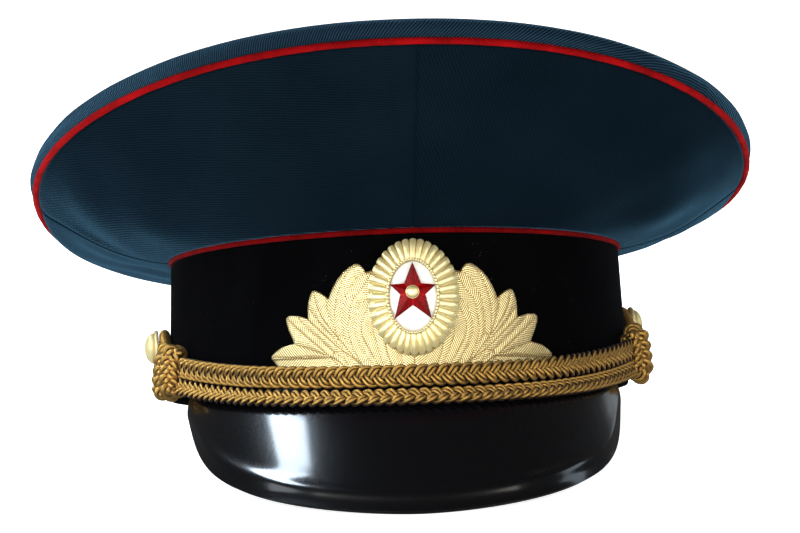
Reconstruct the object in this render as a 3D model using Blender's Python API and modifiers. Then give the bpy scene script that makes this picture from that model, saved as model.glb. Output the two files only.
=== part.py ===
"""A peaked visor cap with a wide sloping crown, a velvet band, a lacquered visor, twin plaited
chin cords held by side buttons, and a stamped leaf badge with a rayed oval cockade.

Lengths are metres and angles are degrees unless a name says otherwise. The cap's own frame has its
origin at the centre of the band's lower edge, -Y to the front, +X to the viewer's right and +Z square
to that edge. An angle round the cap runs from the front (0) towards +X. Left and right are the
viewer's. The empty cap_frame leans the cap back as it stands by itself, on the front of its visor and
the rear of its band, with the floor at Z = 0.
"""

import collections
import math

import bmesh
import bpy
from mathutils import Vector

# Gap that neighbouring pieces keep
GAP = 0.0003

# Band
BAND_HALF_WIDTH = 0.088
BAND_HALF_LENGTH = 0.106
BAND_HEIGHT = 0.053
BAND_TOP_IN = 0.002
BAND_WALL = 0.0025
BAND_PIPING_RADIUS = 0.001

# Crown: the rim is the seam line that the crown piping follows
RIM_OVERHANG_SIDE = 0.049
RIM_OVERHANG_END = 0.0376
RIM_BACKWARD = 0.006
RIM_SQUARENESS = 0.93
RIM_RISE = 0.028
RIM_SLOPE = 0.031
RIM_SADDLE = 0.0032
RIM_LIFT = 0.0036
RIM_LIFT_START = 85.0
RIM_LIFT_END = 180.0
RIM_LIFT_CHANGE = 38.0
CROWN_PIPING_RADIUS = 0.00125
CROWN_WALL = 0.0012
TOP_ROLL_HEIGHT = 0.0085
TOP_ROLL_OUT = 0.0018
TOP_SAG = 0.002
FRONT_SEAM_ANGLE = 1.6
SIDE_SEAM_ANGLE = 90.0

# Visor
VISOR_HALF_ANGLE = 66.0
VISOR_LENGTH = 0.0567
VISOR_TUCK = 0.0012
VISOR_END_LENGTH = 0.0073
VISOR_ROUNDNESS = 1.8
VISOR_SLOPE = 54.2
VISOR_END_SLOPE = 79.7
VISOR_SLOPE_POWER = 2.5
VISOR_BOW = 0.0025
VISOR_WALL = 0.002
VISOR_RIDGE_IN = 0.0065
VISOR_RIDGE_WIDTH = 0.003
VISOR_RIDGE_LIFT = 0.0011
VISOR_RIDGE_FADE = 1.5

# Chin cords, with their knots, loops and buttons
CORD_HALF_HEIGHT = 0.00355
CORD_HALF_DEPTH = 0.002
CORD_FRONT_HEIGHT = -0.0015
CORD_RISE_POWER = 2.2
CORD_KNOT_PUSH = 0.0024
CORD_PUSH_POWER = 6.0
CORD_SETTLE_ANGLE = 18.0
CORD_END_GAP = 0.0012
CORD_BLEND = 0.0008
KNOT_HALF_LENGTH = 0.0095
KNOT_HALF_HEIGHT = 0.0108
KNOT_HALF_DEPTH = 0.0046
KNOT_SQUARENESS = 0.8
BUTTON_RADIUS = 0.007
BUTTON_DOME = 0.0042
BUTTON_RIM = 0.0008
SHANK_RADIUS = 0.0018
LOOP_CORD_RADIUS = 0.002
LOOP_CLEARANCE = 0.0012
LOOP_START_DROP = 0.45

# Badge
BADGE_SIDEWAYS = 0.0010
BADGE_TURN = 1.3
WREATH_HALF_WIDTH = 0.0492
WREATH_ROOT_HEIGHT = 0.002
WREATH_RISE = 0.0394
WREATH_BACK = 0.0005
WREATH_PLATE = 0.0008
WREATH_RELIEF = 0.001
COCKADE_HEIGHT = 0.0291
COCKADE_HALF_WIDTH = 0.0160
COCKADE_HALF_HEIGHT = 0.0208
COCKADE_DEPTH = 0.003
FLUTES = 36
FLUTE_DEPTH = 0.0007
SCALLOP_SHARE = 0.025
ENAMEL_HALF_WIDTH = 0.0084
ENAMEL_HALF_HEIGHT = 0.0124
ENAMEL_DOME = 0.0009
BEAD_RIM_RADIUS = 0.0006
STAR_HALF_WIDTH = 0.0077
STAR_HALF_HEIGHT = 0.0101
STAR_RAISE = 0.0012
STAR_PLATE = 0.0006
STAR_PEAK = 0.0012
STAR_FLAT_SHARE = 0.28
BOSS_RADIUS = 0.0024
BOSS_HEIGHT = 0.0008

# How finely the curved pieces are divided
AROUND = 60
QUARTER_ROWS = 7
VISOR_COLUMNS = 32
CORD_POINTS = 41
CORD_SIDES = 8
KNOT_SIDES = 12
LOOP_POINTS = 13
BUTTON_STEPS = 16
OVAL_STEPS = 24
BEAD_RIM_STEPS = 36
BOSS_STEPS = 12
SHARP_EDGE_ANGLE = 35.0

# The two ends of the cords, by name: sign of X, then the angle from the front and the height of
# the knot's centre and of the button's centre
Side = collections.namedtuple("Side", "sign knot_angle knot_height button_angle button_height")
SIDES = {
    "left": Side(-1, 71.5, 0.0093, 85.0, 0.0202),
    "right": Side(1, 76.0, 0.0110, 96.0, 0.0245),
}

# Crown section by angle from the front: (angle, direction in which the cloth leaves the band,
# direction in which it reaches the rim, both in degrees above the horizontal, and the lengths of the
# two handles as shares of the straight line from band to rim)
CROWN_SECTIONS = (
    (0, 58, 64, 0.35, 0.35),
    (45, 34, 56, 0.38, 0.38),
    (90, 8, 38, 0.40, 0.40),
    (135, -1, 20, 0.42, 0.38),
    (180, -8, 16, 0.42, 0.38),
)

# Roll of the top cloth from the rim inwards: (reach outwards as a share of TOP_ROLL_OUT,
# height as a share of TOP_ROLL_HEIGHT, reach inwards as a share of TOP_ROLL_HEIGHT). The first row
# clears the piping.
TOP_ROLL = (
    (0.25, (CROWN_PIPING_RADIUS + GAP) / TOP_ROLL_HEIGHT, 0.0),
    (0.55, 0.27, 0.0),
    (1.0, 0.50, 0.0),
    (0.6, 0.80, 0.0),
    (0.0, 0.96, 0.30),
    (0.0, 1.0, 0.80),
)

# Rings of the top cloth inside the roll, as shares of the way out from the centre
TOP_RINGS = (0.82, 0.54, 0.24)

# Knot along its length: (place as a share of the half length, fullness)
KNOT_SECTIONS = (
    (-1.0, 0.62),
    (-0.8, 0.93),
    (-0.45, 1.0),
    (-0.3, 0.90),
    (0.0, 1.0),
    (0.3, 0.90),
    (0.45, 1.0),
    (0.8, 0.93),
    (1.0, 0.62),
)

# Wreath outline on one half, from the top to the lowest leaf, seen from the middle of its lower edge:
# (sideways share of WREATH_HALF_WIDTH, upward share of WREATH_RISE, relief share)
WREATH_OUTLINE = (
    (0.0, 0.90, 0.3),
    (0.21, 0.97, 0.5),
    (0.38, 1.0, 1.0),
    (0.47, 0.91, 0.7),
    (0.55, 0.80, 0.4),
    (0.593, 0.70, 0.1),
    (0.693, 0.764, 1.0),
    (0.74, 0.65, 0.6),
    (0.74, 0.52, 0.1),
    (0.874, 0.558, 1.0),
    (0.875, 0.44, 0.6),
    (0.833, 0.305, 0.1),
    (1.0, 0.206, 1.0),
    (0.92, 0.03, 0.5),
)

# Rows of the wreath from its root to its outline: (share of the way out, relief share)
WREATH_ROWS = (
    (0.08, 0.5),
    (0.36, 0.7),
    (0.59, 0.9),
    (0.81, 1.0),
    (1.0, 0.35),
)

# Button dome from its top to its rim: (share of BUTTON_RADIUS, share of BUTTON_DOME)
DOME = (
    (0.0, 1.0),
    (0.41, 0.91),
    (0.74, 0.64),
    (0.91, 0.31),
)

# Cockade from its outer edge inwards: (share of the way in, height share, flute share)
COCKADE_PROFILE = (
    (0.0, 0.30, 1.0),
    (0.18, 0.62, 1.0),
    (0.55, 0.90, 0.8),
    (1.0, 1.0, 0.3),
)

# Enamel from its edge to its middle: (share of the half axes, share of ENAMEL_DOME)
ENAMEL_PROFILE = (
    (1.0, 0.0),
    (0.7, 0.6),
    (0.3, 1.0),
)

# Boss from its edge to its middle: (share of BOSS_RADIUS, share of BOSS_HEIGHT)
BOSS_PROFILE = (
    (1.0, 0.0),
    (0.95, 0.45),
    (0.62, 0.85),
    (0.2, 1.0),
)

# Star outline, clockwise from the top: (share of STAR_HALF_WIDTH, share of STAR_HALF_HEIGHT)
STAR_OUTLINE = (
    (0.0, 1.0),
    (0.37, 0.29),
    (1.0, 0.255),
    (0.54, -0.07),
    (0.80, -0.87),
    (0.0, -0.42),
    (-0.80, -0.87),
    (-0.54, -0.07),
    (-1.0, 0.255),
    (-0.37, 0.29),
)

# Materials: (name, base colour, roughness, metallic)
TEAL_CLOTH = ("teal_twill", (0.010, 0.035, 0.060), 0.85, 0.0)
RED_FELT = ("red_felt", (0.45, 0.010, 0.012), 0.80, 0.0)
BLACK_VELVET = ("black_velvet", (0.004, 0.004, 0.005), 0.90, 0.0)
BLACK_LACQUER = ("black_lacquer", (0.006, 0.006, 0.008), 0.12, 0.0)
GOLD_BULLION = ("gold_bullion", (0.38, 0.22, 0.07), 0.42, 0.8)
BRIGHT_BRASS = ("bright_brass", (0.85, 0.65, 0.30), 0.28, 1.0)
WHITE_ENAMEL = ("white_enamel", (0.85, 0.85, 0.82), 0.15, 0.0)
RED_ENAMEL = ("red_enamel", (0.35, 0.004, 0.008), 0.10, 0.0)


# Helpers for materials and objects


def material(finish):
    name, colour, roughness, metallic = finish
    made = bpy.data.materials.get(name)
    if made is None:
        made = bpy.data.materials.new(name)
        made.use_nodes = True
        shader = made.node_tree.nodes["Principled BSDF"]
        shader.inputs["Base Color"].default_value = (*colour, 1.0)
        shader.inputs["Roughness"].default_value = roughness
        shader.inputs["Metallic"].default_value = metallic
    return made


def add_object(name, data, finish, frame):
    """Puts mesh or curve data in the cap's collection, under a frame, with its finish."""
    made = bpy.data.objects.new(name, data)
    data.materials.append(material(finish))
    bpy.data.collections["visor_cap"].objects.link(made)
    made.parent = frame
    return made


def smooth(mesh):
    mesh.shade_smooth()
    mesh.set_sharp_from_angle(angle=math.radians(SHARP_EDGE_ANGLE))


def mesh_from(name, build):
    """A mesh made by a function that fills a bmesh."""
    shape = bmesh.new()
    build(shape)
    mesh = bpy.data.meshes.new(name)
    shape.to_mesh(mesh)
    shape.free()
    smooth(mesh)
    return mesh


def join_rows(shape, rows, around=False):
    """Quads between rows of vertices. Columns run towards +X at the front and rows run upwards, or
    outwards on an underside, so that the faces point out."""
    for lower, upper in zip(rows, rows[1:]):
        count = len(lower)
        for i in range(count if around else count - 1):
            k = (i + 1) % count
            shape.faces.new((lower[i], lower[k], upper[k], upper[i]))


def loft_surface(name, rows, around=False):
    """An open surface through rows of points."""

    def build(shape):
        join_rows(shape, [[shape.verts.new(p) for p in row] for row in rows], around)

    return mesh_from(name, build)


def loft_solid(name, sections, ring=False):
    """A closed solid through closed sections, capped at both ends unless it is a ring."""

    def build(shape):
        rows = [[shape.verts.new(p) for p in section] for section in sections]
        join_rows(shape, rows + rows[:1] if ring else rows, around=True)
        if not ring:
            shape.faces.new(rows[0])
            shape.faces.new(rows[-1])
        bmesh.ops.recalc_face_normals(shape, faces=shape.faces)

    return mesh_from(name, build)


def add_wall(made, thickness):
    """Gives an open surface its wall, inwards from the surface."""
    wall = made.modifiers.new("wall", "SOLIDIFY")
    wall.thickness = thickness
    wall.offset = -1.0
    wall.use_even_offset = True


def tube(name, points, radius, finish, frame, closed=False, section=None, resolution=1):
    """A tube along points, round or with the section of a guide curve."""
    curve = bpy.data.curves.new(name, "CURVE")
    curve.dimensions = "3D"
    curve.twist_mode = "Z_UP" if section else "MINIMUM"
    spline = curve.splines.new("POLY")
    spline.points.add(len(points) - 1)
    for place, point in zip(spline.points, points):
        place.co = (*point, 1.0)
    spline.use_cyclic_u = closed
    if section:
        curve.bevel_mode = "OBJECT"
        curve.bevel_object = section
    else:
        curve.bevel_depth = radius
        curve.bevel_resolution = resolution
    curve.use_fill_caps = not closed
    return add_object(name, curve, finish, frame)


# Geometry that several pieces share


def turn(degrees):
    """Sine and cosine of an angle in degrees."""
    return math.sin(math.radians(degrees)), math.cos(math.radians(degrees))


def angles(start, end, count):
    return [start + (end - start) * i / (count - 1) for i in range(count)]


def signed_power(value, power):
    return math.copysign(abs(value) ** power, value)


def smooth_step(share):
    share = min(max(share, 0.0), 1.0)
    return share * share * (3 - 2 * share)


def soft_larger(first, second):
    """The larger of two lengths, with a smooth change from one to the other."""
    return (first + second + math.hypot(first - second, CORD_BLEND)) / 2


def from_table(table, key):
    """The row of a table at a key, straight between its neighbours."""
    for low, high in zip(table, table[1:]):
        if key <= high[0]:
            t = (key - low[0]) / (high[0] - low[0])
            return [a + (b - a) * t for a, b in zip(low[1:], high[1:])]
    return list(table[-1][1:])


def band_axes(height):
    """Half width and half length of the band's outer face at a height."""
    lean = BAND_TOP_IN * height / BAND_HEIGHT
    return BAND_HALF_WIDTH - lean, BAND_HALF_LENGTH - lean


def on_band(angle, height, standoff=0.0):
    """A point on the band's outer face, or off it along its outward direction."""
    half_width, half_length = band_axes(height)
    s, c = turn(angle)
    out = Vector((s / half_width, -c / half_length, 0)).normalized()
    return Vector((half_width * s, -half_length * c, height)) + out * standoff


def on_front(x, height, standoff):
    """The same, for a place given by X instead of an angle."""
    half_width, _ = band_axes(height)
    return on_band(math.degrees(math.asin(x / half_width)), height, standoff)


def band_directions(angle):
    """Outward and forward-to-rear directions of the band's outer face at an angle."""
    s, c = turn(angle)
    out = Vector((s / BAND_HALF_WIDTH, -c / BAND_HALF_LENGTH, 0)).normalized()
    along = Vector((BAND_HALF_WIDTH * c, BAND_HALF_LENGTH * s, 0))
    return out, along


def degrees_per_metre(angle):
    """How fast the angle grows along the band."""
    return math.degrees(1.0 / band_directions(angle)[1].length)


def rim_lift(angle):
    """Extra height of the soft rim at the rear right."""
    turned = angle % 360
    start = smooth_step((turned - RIM_LIFT_START) / RIM_LIFT_CHANGE)
    end = smooth_step((RIM_LIFT_END - turned) / RIM_LIFT_CHANGE)
    return RIM_LIFT * start * end


def rim_point(angle):
    """A point on the crown's rim: an oval, higher at the front, and a little saddle shaped."""
    s, c = turn(angle)
    half_width = BAND_HALF_WIDTH + RIM_OVERHANG_SIDE
    half_length = BAND_HALF_LENGTH + RIM_OVERHANG_END
    double = 2.0 * c * c - 1.0
    return Vector((
        half_width * signed_power(s, RIM_SQUARENESS),
        RIM_BACKWARD - half_length * signed_power(c, RIM_SQUARENESS),
        BAND_HEIGHT + RIM_RISE + RIM_SLOPE * c + RIM_SADDLE * double + rim_lift(angle),
    ))


# Crown


def crown_section(angle):
    """Points from the band's seam to the rim at an angle, on a cubic curve whose handles set how
    the cloth leaves the band and how it reaches the rim. The seams keep room for the piping."""
    seam = on_band(angle, BAND_HEIGHT)
    rim = rim_point(angle)
    leave, reach, leave_share, reach_share = from_table(CROWN_SECTIONS, abs((angle + 180) % 360 - 180))
    chord = rim - seam
    plan = Vector((chord.x, chord.y, 0)).normalized()
    up = Vector((0, 0, 1))
    s, c = turn(leave)
    first = seam + (plan * c + up * s) * chord.length * leave_share
    s, c = turn(reach)
    second = rim - (plan * c + up * s) * chord.length * reach_share
    low = (BAND_PIPING_RADIUS + GAP) / chord.length
    high = 1.0 - (CROWN_PIPING_RADIUS + GAP) / chord.length
    points = []
    for t in angles(low, high, QUARTER_ROWS + 1):
        r = 1.0 - t
        points.append(seam * r**3 + first * 3 * r * r * t + second * 3 * r * t * t + rim * t**3)
    return points


def build_quarter(name, start, end, frame):
    """One of the four cloth quarters between two upright seams."""
    seam_room = math.degrees(GAP / (2 * BAND_HALF_WIDTH))
    columns = [crown_section(a) for a in angles(start + seam_room, end - seam_room, AROUND // 4 + 1)]
    quarter = add_object(name, loft_surface(name, list(zip(*columns))), TEAL_CLOTH, frame)
    add_wall(quarter, CROWN_WALL)


def build_crown_top(frame):
    """The top cloth: a rounded roll over the rim, then a drumhead that follows the rim's slope."""
    turns = [360 * i / AROUND for i in range(AROUND)]
    centre = Vector((0, RIM_BACKWARD, 0))
    rows = []
    for out_share, height_share, in_share in TOP_ROLL:
        row = []
        for angle in turns:
            rim = rim_point(angle)
            out = Vector((rim.x, rim.y - centre.y, 0)).normalized()
            reach = out_share * TOP_ROLL_OUT - in_share * TOP_ROLL_HEIGHT
            row.append(rim + out * reach + Vector((0, 0, height_share * TOP_ROLL_HEIGHT)))
        rows.append(row)
    middle = BAND_HEIGHT + RIM_RISE + TOP_ROLL_HEIGHT - TOP_SAG
    edge = rows[-1]
    for share in TOP_RINGS:
        row = []
        for angle, outer in zip(turns, edge):
            s, c = turn(angle)
            flat = centre.lerp(Vector((outer.x, outer.y, 0)), share)
            height = middle + RIM_SLOPE * share * c + RIM_SADDLE * share**2 * (2 * c * c - 1)
            height += (TOP_SAG + rim_lift(angle)) * share**2
            row.append(Vector((flat.x, flat.y, height)))
        rows.append(row)

    def build(shape):
        rings = [[shape.verts.new(p) for p in row] for row in rows]
        join_rows(shape, rings, around=True)
        hub = shape.verts.new((centre.x, centre.y, middle))
        last = rings[-1]
        for i, corner in enumerate(last):
            shape.faces.new((corner, last[(i + 1) % len(last)], hub))

    top = add_object("crown_top", mesh_from("crown_top", build), TEAL_CLOTH, frame)
    add_wall(top, CROWN_WALL)


def build_crown(frame):
    build_quarter("crown_front_left", -SIDE_SEAM_ANGLE, FRONT_SEAM_ANGLE, frame)
    build_quarter("crown_front_right", FRONT_SEAM_ANGLE, SIDE_SEAM_ANGLE, frame)
    build_quarter("crown_rear_right", SIDE_SEAM_ANGLE, 180, frame)
    build_quarter("crown_rear_left", 180, 360 - SIDE_SEAM_ANGLE, frame)
    build_crown_top(frame)
    rim = [rim_point(360 * i / AROUND) for i in range(AROUND)]
    tube("crown_piping", rim, CROWN_PIPING_RADIUS, RED_FELT, frame, closed=True)


# Band


def build_band(frame):
    """The band: an oval tube that narrows a little towards the top."""
    top = BAND_HEIGHT - BAND_PIPING_RADIUS - GAP

    def build(shape):
        bmesh.ops.create_cone(shape, segments=AROUND, radius1=1.0, radius2=1.0, depth=1.0)
        for corner in shape.verts:
            height = top if corner.co.z > 0 else 0.0
            half_width, half_length = band_axes(height)
            corner.co = (corner.co.x * half_width, corner.co.y * half_length, height)
        bmesh.ops.recalc_face_normals(shape, faces=shape.faces)

    band = add_object("band", mesh_from("band", build), BLACK_VELVET, frame)
    add_wall(band, BAND_WALL)
    seam = [on_band(360 * i / AROUND, BAND_HEIGHT) for i in range(AROUND)]
    tube("band_piping", seam, BAND_PIPING_RADIUS, RED_FELT, frame, closed=True)
    return band


# Visor


def visor_rows():
    """Rows of the visor from its edge to its root: (distance from the edge, share of the length
    that caps that distance near the ends, lift). The ridge follows the edge."""
    half = VISOR_RIDGE_WIDTH / 2
    return (
        (0.0, 0.0, 0.0),
        (VISOR_RIDGE_IN - half, 0.22, 0.0),
        (VISOR_RIDGE_IN - half / 3, 0.30, VISOR_RIDGE_LIFT),
        (VISOR_RIDGE_IN + half / 3, 0.38, VISOR_RIDGE_LIFT),
        (VISOR_RIDGE_IN + half, 0.46, 0.0),
        (VISOR_LENGTH * 0.42, 0.60, 0.0),
        (VISOR_LENGTH * 0.70, 0.80, 0.0),
        (VISOR_LENGTH, 1.0, 0.0),
    )


def visor_slope(place):
    """Slope of the visor below the horizontal, steeper towards its ends."""
    steepening = min(abs(place), 1.0) ** VISOR_SLOPE_POWER
    return VISOR_SLOPE + (VISOR_END_SLOPE - VISOR_SLOPE) * steepening


def visor_point(place, from_edge, most_share, lift):
    """A point on the visor's upper face. place runs from -1 to 1 across, and the length shrinks and
    the slope grows towards both ends."""
    angle = place * VISOR_HALF_ANGLE
    length = VISOR_END_LENGTH + (VISOR_LENGTH - VISOR_END_LENGTH) * (1 - abs(place) ** VISOR_ROUNDNESS)
    slope = visor_slope(place)
    share = 1.0 - min(from_edge / length, most_share)
    s, c = turn(slope)
    full = length / VISOR_LENGTH
    bow = VISOR_BOW * full * 4 * share * (1 - share) + lift * min(1.0, full * VISOR_RIDGE_FADE)
    out = length * share * c + bow * s
    down = length * share * s - bow * c
    root = on_band(angle, 0.0, out - VISOR_TUCK)
    return root - Vector((0, 0, GAP + down))


def build_visor(frame):
    rows = [
        [visor_point(place, *row) for place in angles(-1.0, 1.0, VISOR_COLUMNS + 1)]
        for row in visor_rows()
    ]
    visor = add_object("visor", loft_surface("visor", rows), BLACK_LACQUER, frame)
    add_wall(visor, VISOR_WALL)
    return visor


# Chin cords


def side_at(angle):
    return SIDES["right" if angle > 0 else "left"]


def pair_height(angle):
    """Height of the middle of the two cords: lowest at the front, rising to each knot."""
    side = side_at(angle)
    share = abs(angle) / side.knot_angle
    return CORD_FRONT_HEIGHT + (side.knot_height - CORD_FRONT_HEIGHT) * share**CORD_RISE_POWER


def visor_rest(angle, height):
    """How far off the band's face a cord's centre lies where the cord rests on the visor."""
    s, c = turn(visor_slope(angle / VISOR_HALF_ANGLE))
    reach = math.hypot(CORD_HALF_DEPTH * s, CORD_HALF_HEIGHT * c)
    return (reach + GAP + VISOR_BOW / 2 - (height + GAP) * c) / s - VISOR_TUCK


def cord_point(angle, level):
    """A point on a cord's centre line; level is 1 for the upper cord and -1 for the lower one."""
    share = abs(angle) / side_at(angle).knot_angle
    height = pair_height(angle) + level * (CORD_HALF_HEIGHT + GAP / 2)
    on_cloth = CORD_HALF_DEPTH + GAP + CORD_KNOT_PUSH * share**CORD_PUSH_POWER
    if level > 0:
        rest = wreath_depth() + CORD_HALF_DEPTH + GAP
        rest *= 1 - smooth_step((abs(angle) - wreath_end_angle()) / CORD_SETTLE_ANGLE)
    else:
        rest = visor_rest(angle, height)
    return on_band(angle, height, soft_larger(on_cloth, rest))


def build_cords(frame, guides):
    """Two plaited cords, one above the other, held taut between the knots."""
    oval = bpy.data.curves.new("cord_section", "CURVE")
    spline = oval.splines.new("POLY")
    spline.points.add(CORD_SIDES - 1)
    for i, place in enumerate(spline.points):
        s, c = turn(360 * i / CORD_SIDES)
        place.co = (CORD_HALF_DEPTH * s, CORD_HALF_HEIGHT * c, 0, 1)
    spline.use_cyclic_u = True
    section = bpy.data.objects.new("cord_section", oval)
    section.hide_render = True
    section.display_type = "WIRE"
    guides.objects.link(section)
    ends = []
    for side in SIDES.values():
        room = (KNOT_HALF_LENGTH + CORD_END_GAP) * degrees_per_metre(side.knot_angle)
        ends.append(side.sign * (side.knot_angle - room))
    for name, level in (("chin_cord_upper", 1), ("chin_cord_lower", -1)):
        route = [cord_point(a, level) for a in angles(*ends, CORD_POINTS)]
        tube(name, route, 0.0, GOLD_BULLION, frame, section=section)


def build_knot(name, side, frame):
    """A knot wound round both cords, with its turns side by side."""
    per_metre = degrees_per_metre(side.knot_angle)
    sections = []
    for place, fullness in KNOT_SECTIONS:
        angle = side.sign * (side.knot_angle + place * KNOT_HALF_LENGTH * per_metre)
        points = []
        for i in range(KNOT_SIDES):
            s, c = turn(360 * (i + 0.5) / KNOT_SIDES)
            rise = signed_power(c, KNOT_SQUARENESS) * KNOT_HALF_HEIGHT * fullness
            depth = signed_power(s, KNOT_SQUARENESS) * KNOT_HALF_DEPTH * fullness
            points.append(on_band(angle, side.knot_height + rise, GAP + KNOT_HALF_DEPTH + depth))
        sections.append(points)
    add_object(f"knot_{name}", loft_solid(f"knot_{name}", sections), GOLD_BULLION, frame)


def build_loop(name, side, frame):
    """The whipped end of the cord: a drop-shaped loop from the knot round the button's shank. It is
    drawn in a plane with the shank at the origin, X towards the rear, and then laid on the band."""
    radius = SHANK_RADIUS + LOOP_CLEARANCE + LOOP_CORD_RADIUS
    per_metre = degrees_per_metre(side.button_angle)
    knot_end = side.knot_angle + (KNOT_HALF_LENGTH + GAP) * degrees_per_metre(side.knot_angle)
    start = Vector((
        (knot_end - side.button_angle) / per_metre,
        (side.knot_height - side.button_height) * LOOP_START_DROP,
    ))
    spread = Vector((0, LOOP_CORD_RADIUS + GAP))
    facing = math.degrees(math.atan2(start.y, start.x))
    tangent = math.degrees(math.acos(radius / start.length))
    bend = []
    for turned in angles(facing - tangent, facing + tangent - 360, LOOP_POINTS):
        s, c = turn(turned)
        bend.append(Vector((radius * c, radius * s)))
    upper, lower = start + spread, start - spread
    route = [upper, (upper + bend[0]) / 2, *bend, (bend[-1] + lower) / 2, lower]
    points = [
        on_band(
            side.sign * (side.button_angle + place.x * per_metre),
            side.button_height + place.y,
            LOOP_CORD_RADIUS + GAP,
        )
        for place in route
    ]
    tube(f"cord_loop_{name}", points, LOOP_CORD_RADIUS, GOLD_BULLION, frame)


def build_button(name, side, frame):
    """A domed button on a shank, turned about its own axis."""
    back = 2 * LOOP_CORD_RADIUS + 3 * GAP
    outline = [(BUTTON_RADIUS * r, back + BUTTON_RIM + BUTTON_DOME * rise) for r, rise in DOME]
    outline += [
        (BUTTON_RADIUS, back + BUTTON_RIM),
        (BUTTON_RADIUS, back),
        (SHANK_RADIUS, back),
        (SHANK_RADIUS, GAP),
        (0.0, GAP),
    ]
    mesh = bpy.data.meshes.new(f"button_{name}")
    edges = [(i, i + 1) for i in range(len(outline) - 1)]
    mesh.from_pydata([(r, 0, z) for r, z in outline], edges, [])
    button = add_object(f"button_{name}", mesh, BRIGHT_BRASS, frame)
    turned = button.modifiers.new("turned", "SCREW")
    turned.steps = BUTTON_STEPS
    turned.render_steps = BUTTON_STEPS
    turned.use_merge_vertices = True
    turned.merge_threshold = 0.00005
    angle = side.sign * side.button_angle
    button.location = on_band(angle, side.button_height)
    button.rotation_mode = "QUATERNION"
    button.rotation_quaternion = band_directions(angle)[0].to_track_quat("Z", "Y")


# Badge


def wreath_relief(lift):
    """Depth of the wreath's face off the band, by its share of relief."""
    return WREATH_BACK + WREATH_PLATE + WREATH_RELIEF * lift


def wreath_depth():
    return wreath_relief(1.0) + GAP


def wreath_end_angle():
    return math.degrees(math.asin((WREATH_HALF_WIDTH + BADGE_SIDEWAYS) / BAND_HALF_WIDTH))


def badge_place(x, rise):
    """X and height of a place on the badge, which is pinned a little to one side and a little
    turned. The place is given from the middle of the badge's lower edge."""
    s, c = turn(BADGE_TURN)
    return BADGE_SIDEWAYS + x * c + rise * s, WREATH_ROOT_HEIGHT + rise * c - x * s


def build_wreath(frame):
    """The leaf spray: a plate bent to the band, with each leaf raised along its rib. Its lower edge
    is behind the upper cord."""
    half = list(WREATH_OUTLINE)
    outline = [(-x, z, lift) for x, z, lift in reversed(half[1:])] + half
    fronts = []
    backs = []
    for out, row_lift in WREATH_ROWS:
        front = []
        back = []
        for x_share, rise_share, lift in outline:
            x, z = badge_place(x_share * WREATH_HALF_WIDTH * out, rise_share * WREATH_RISE * out)
            front.append(on_front(x, z, wreath_relief(lift * row_lift)))
            back.append(on_front(x, z, WREATH_BACK))
        fronts.append(front)
        backs.append(back)

    def build(shape):
        front_rows = [[shape.verts.new(p) for p in row] for row in fronts]
        back_rows = [[shape.verts.new(p) for p in row] for row in backs]
        join_rows(shape, front_rows)
        join_rows(shape, [row[::-1] for row in back_rows])
        for front, back in ((front_rows[0], back_rows[0]), (front_rows[-1], back_rows[-1])):
            join_rows(shape, [front, back])
        for end in (0, -1):
            join_rows(shape, [[row[end] for row in front_rows], [row[end] for row in back_rows]])
        bmesh.ops.recalc_face_normals(shape, faces=shape.faces)

    add_object("badge_wreath", mesh_from("badge_wreath", build), BRIGHT_BRASS, frame)


def badge_frame(frame):
    """An empty on the wreath's face at the cockade's centre, with -Y pointing out of the badge."""
    made = bpy.data.objects.new("badge_frame", None)
    bpy.data.collections["visor_cap"].objects.link(made)
    made.parent = frame
    x, z = badge_place(0.0, COCKADE_HEIGHT - WREATH_ROOT_HEIGHT)
    made.location = on_front(x, z, wreath_relief(1.0) + GAP)
    out, _ = band_directions(math.degrees(math.asin(x / BAND_HALF_WIDTH)))
    lean = math.atan(BAND_TOP_IN / BAND_HEIGHT)
    made.rotation_euler = (-lean, math.radians(BADGE_TURN), math.atan2(out.x, -out.y))
    return made


def build_cockade(frame):
    """The rayed oval: a domed ring whose flutes run out from the bead rim."""
    inner_width = ENAMEL_HALF_WIDTH + GAP
    inner_height = ENAMEL_HALF_HEIGHT + GAP
    count = 2 * FLUTES
    sections = []
    for i in range(count):
        s, c = turn(360 * i / count)
        valley = i % 2
        section = []
        for inward, rise, flute in COCKADE_PROFILE:
            reach_x = COCKADE_HALF_WIDTH + (inner_width - COCKADE_HALF_WIDTH) * inward
            reach_z = COCKADE_HALF_HEIGHT + (inner_height - COCKADE_HALF_HEIGHT) * inward
            trim = 1.0 - SCALLOP_SHARE * valley * (1 - inward)
            depth = COCKADE_DEPTH * rise - FLUTE_DEPTH * flute * valley
            section.append(Vector((reach_x * trim * s, -depth, reach_z * trim * c)))
        section.append(Vector((section[-1].x, 0, section[-1].z)))
        section.append(Vector((section[0].x, 0, section[0].z)))
        sections.append(section)
    mesh = loft_solid("badge_cockade", sections, ring=True)
    add_object("badge_cockade", mesh, BRIGHT_BRASS, frame)


def oval_ring(half_width, half_height, depth, count):
    ring = []
    for i in range(count):
        s, c = turn(360 * i / count)
        ring.append(Vector((half_width * s, -depth, half_height * c)))
    return ring


def build_bead_rim(frame):
    """The roped rim round the enamel, on the cockade's inner edge."""
    depth = COCKADE_DEPTH + BEAD_RIM_RADIUS + GAP
    half_width = ENAMEL_HALF_WIDTH + BEAD_RIM_RADIUS
    half_height = ENAMEL_HALF_HEIGHT + BEAD_RIM_RADIUS
    ring = oval_ring(half_width, half_height, depth, BEAD_RIM_STEPS)
    tube("badge_bead_rim", ring, BEAD_RIM_RADIUS, BRIGHT_BRASS, frame, closed=True)


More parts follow.
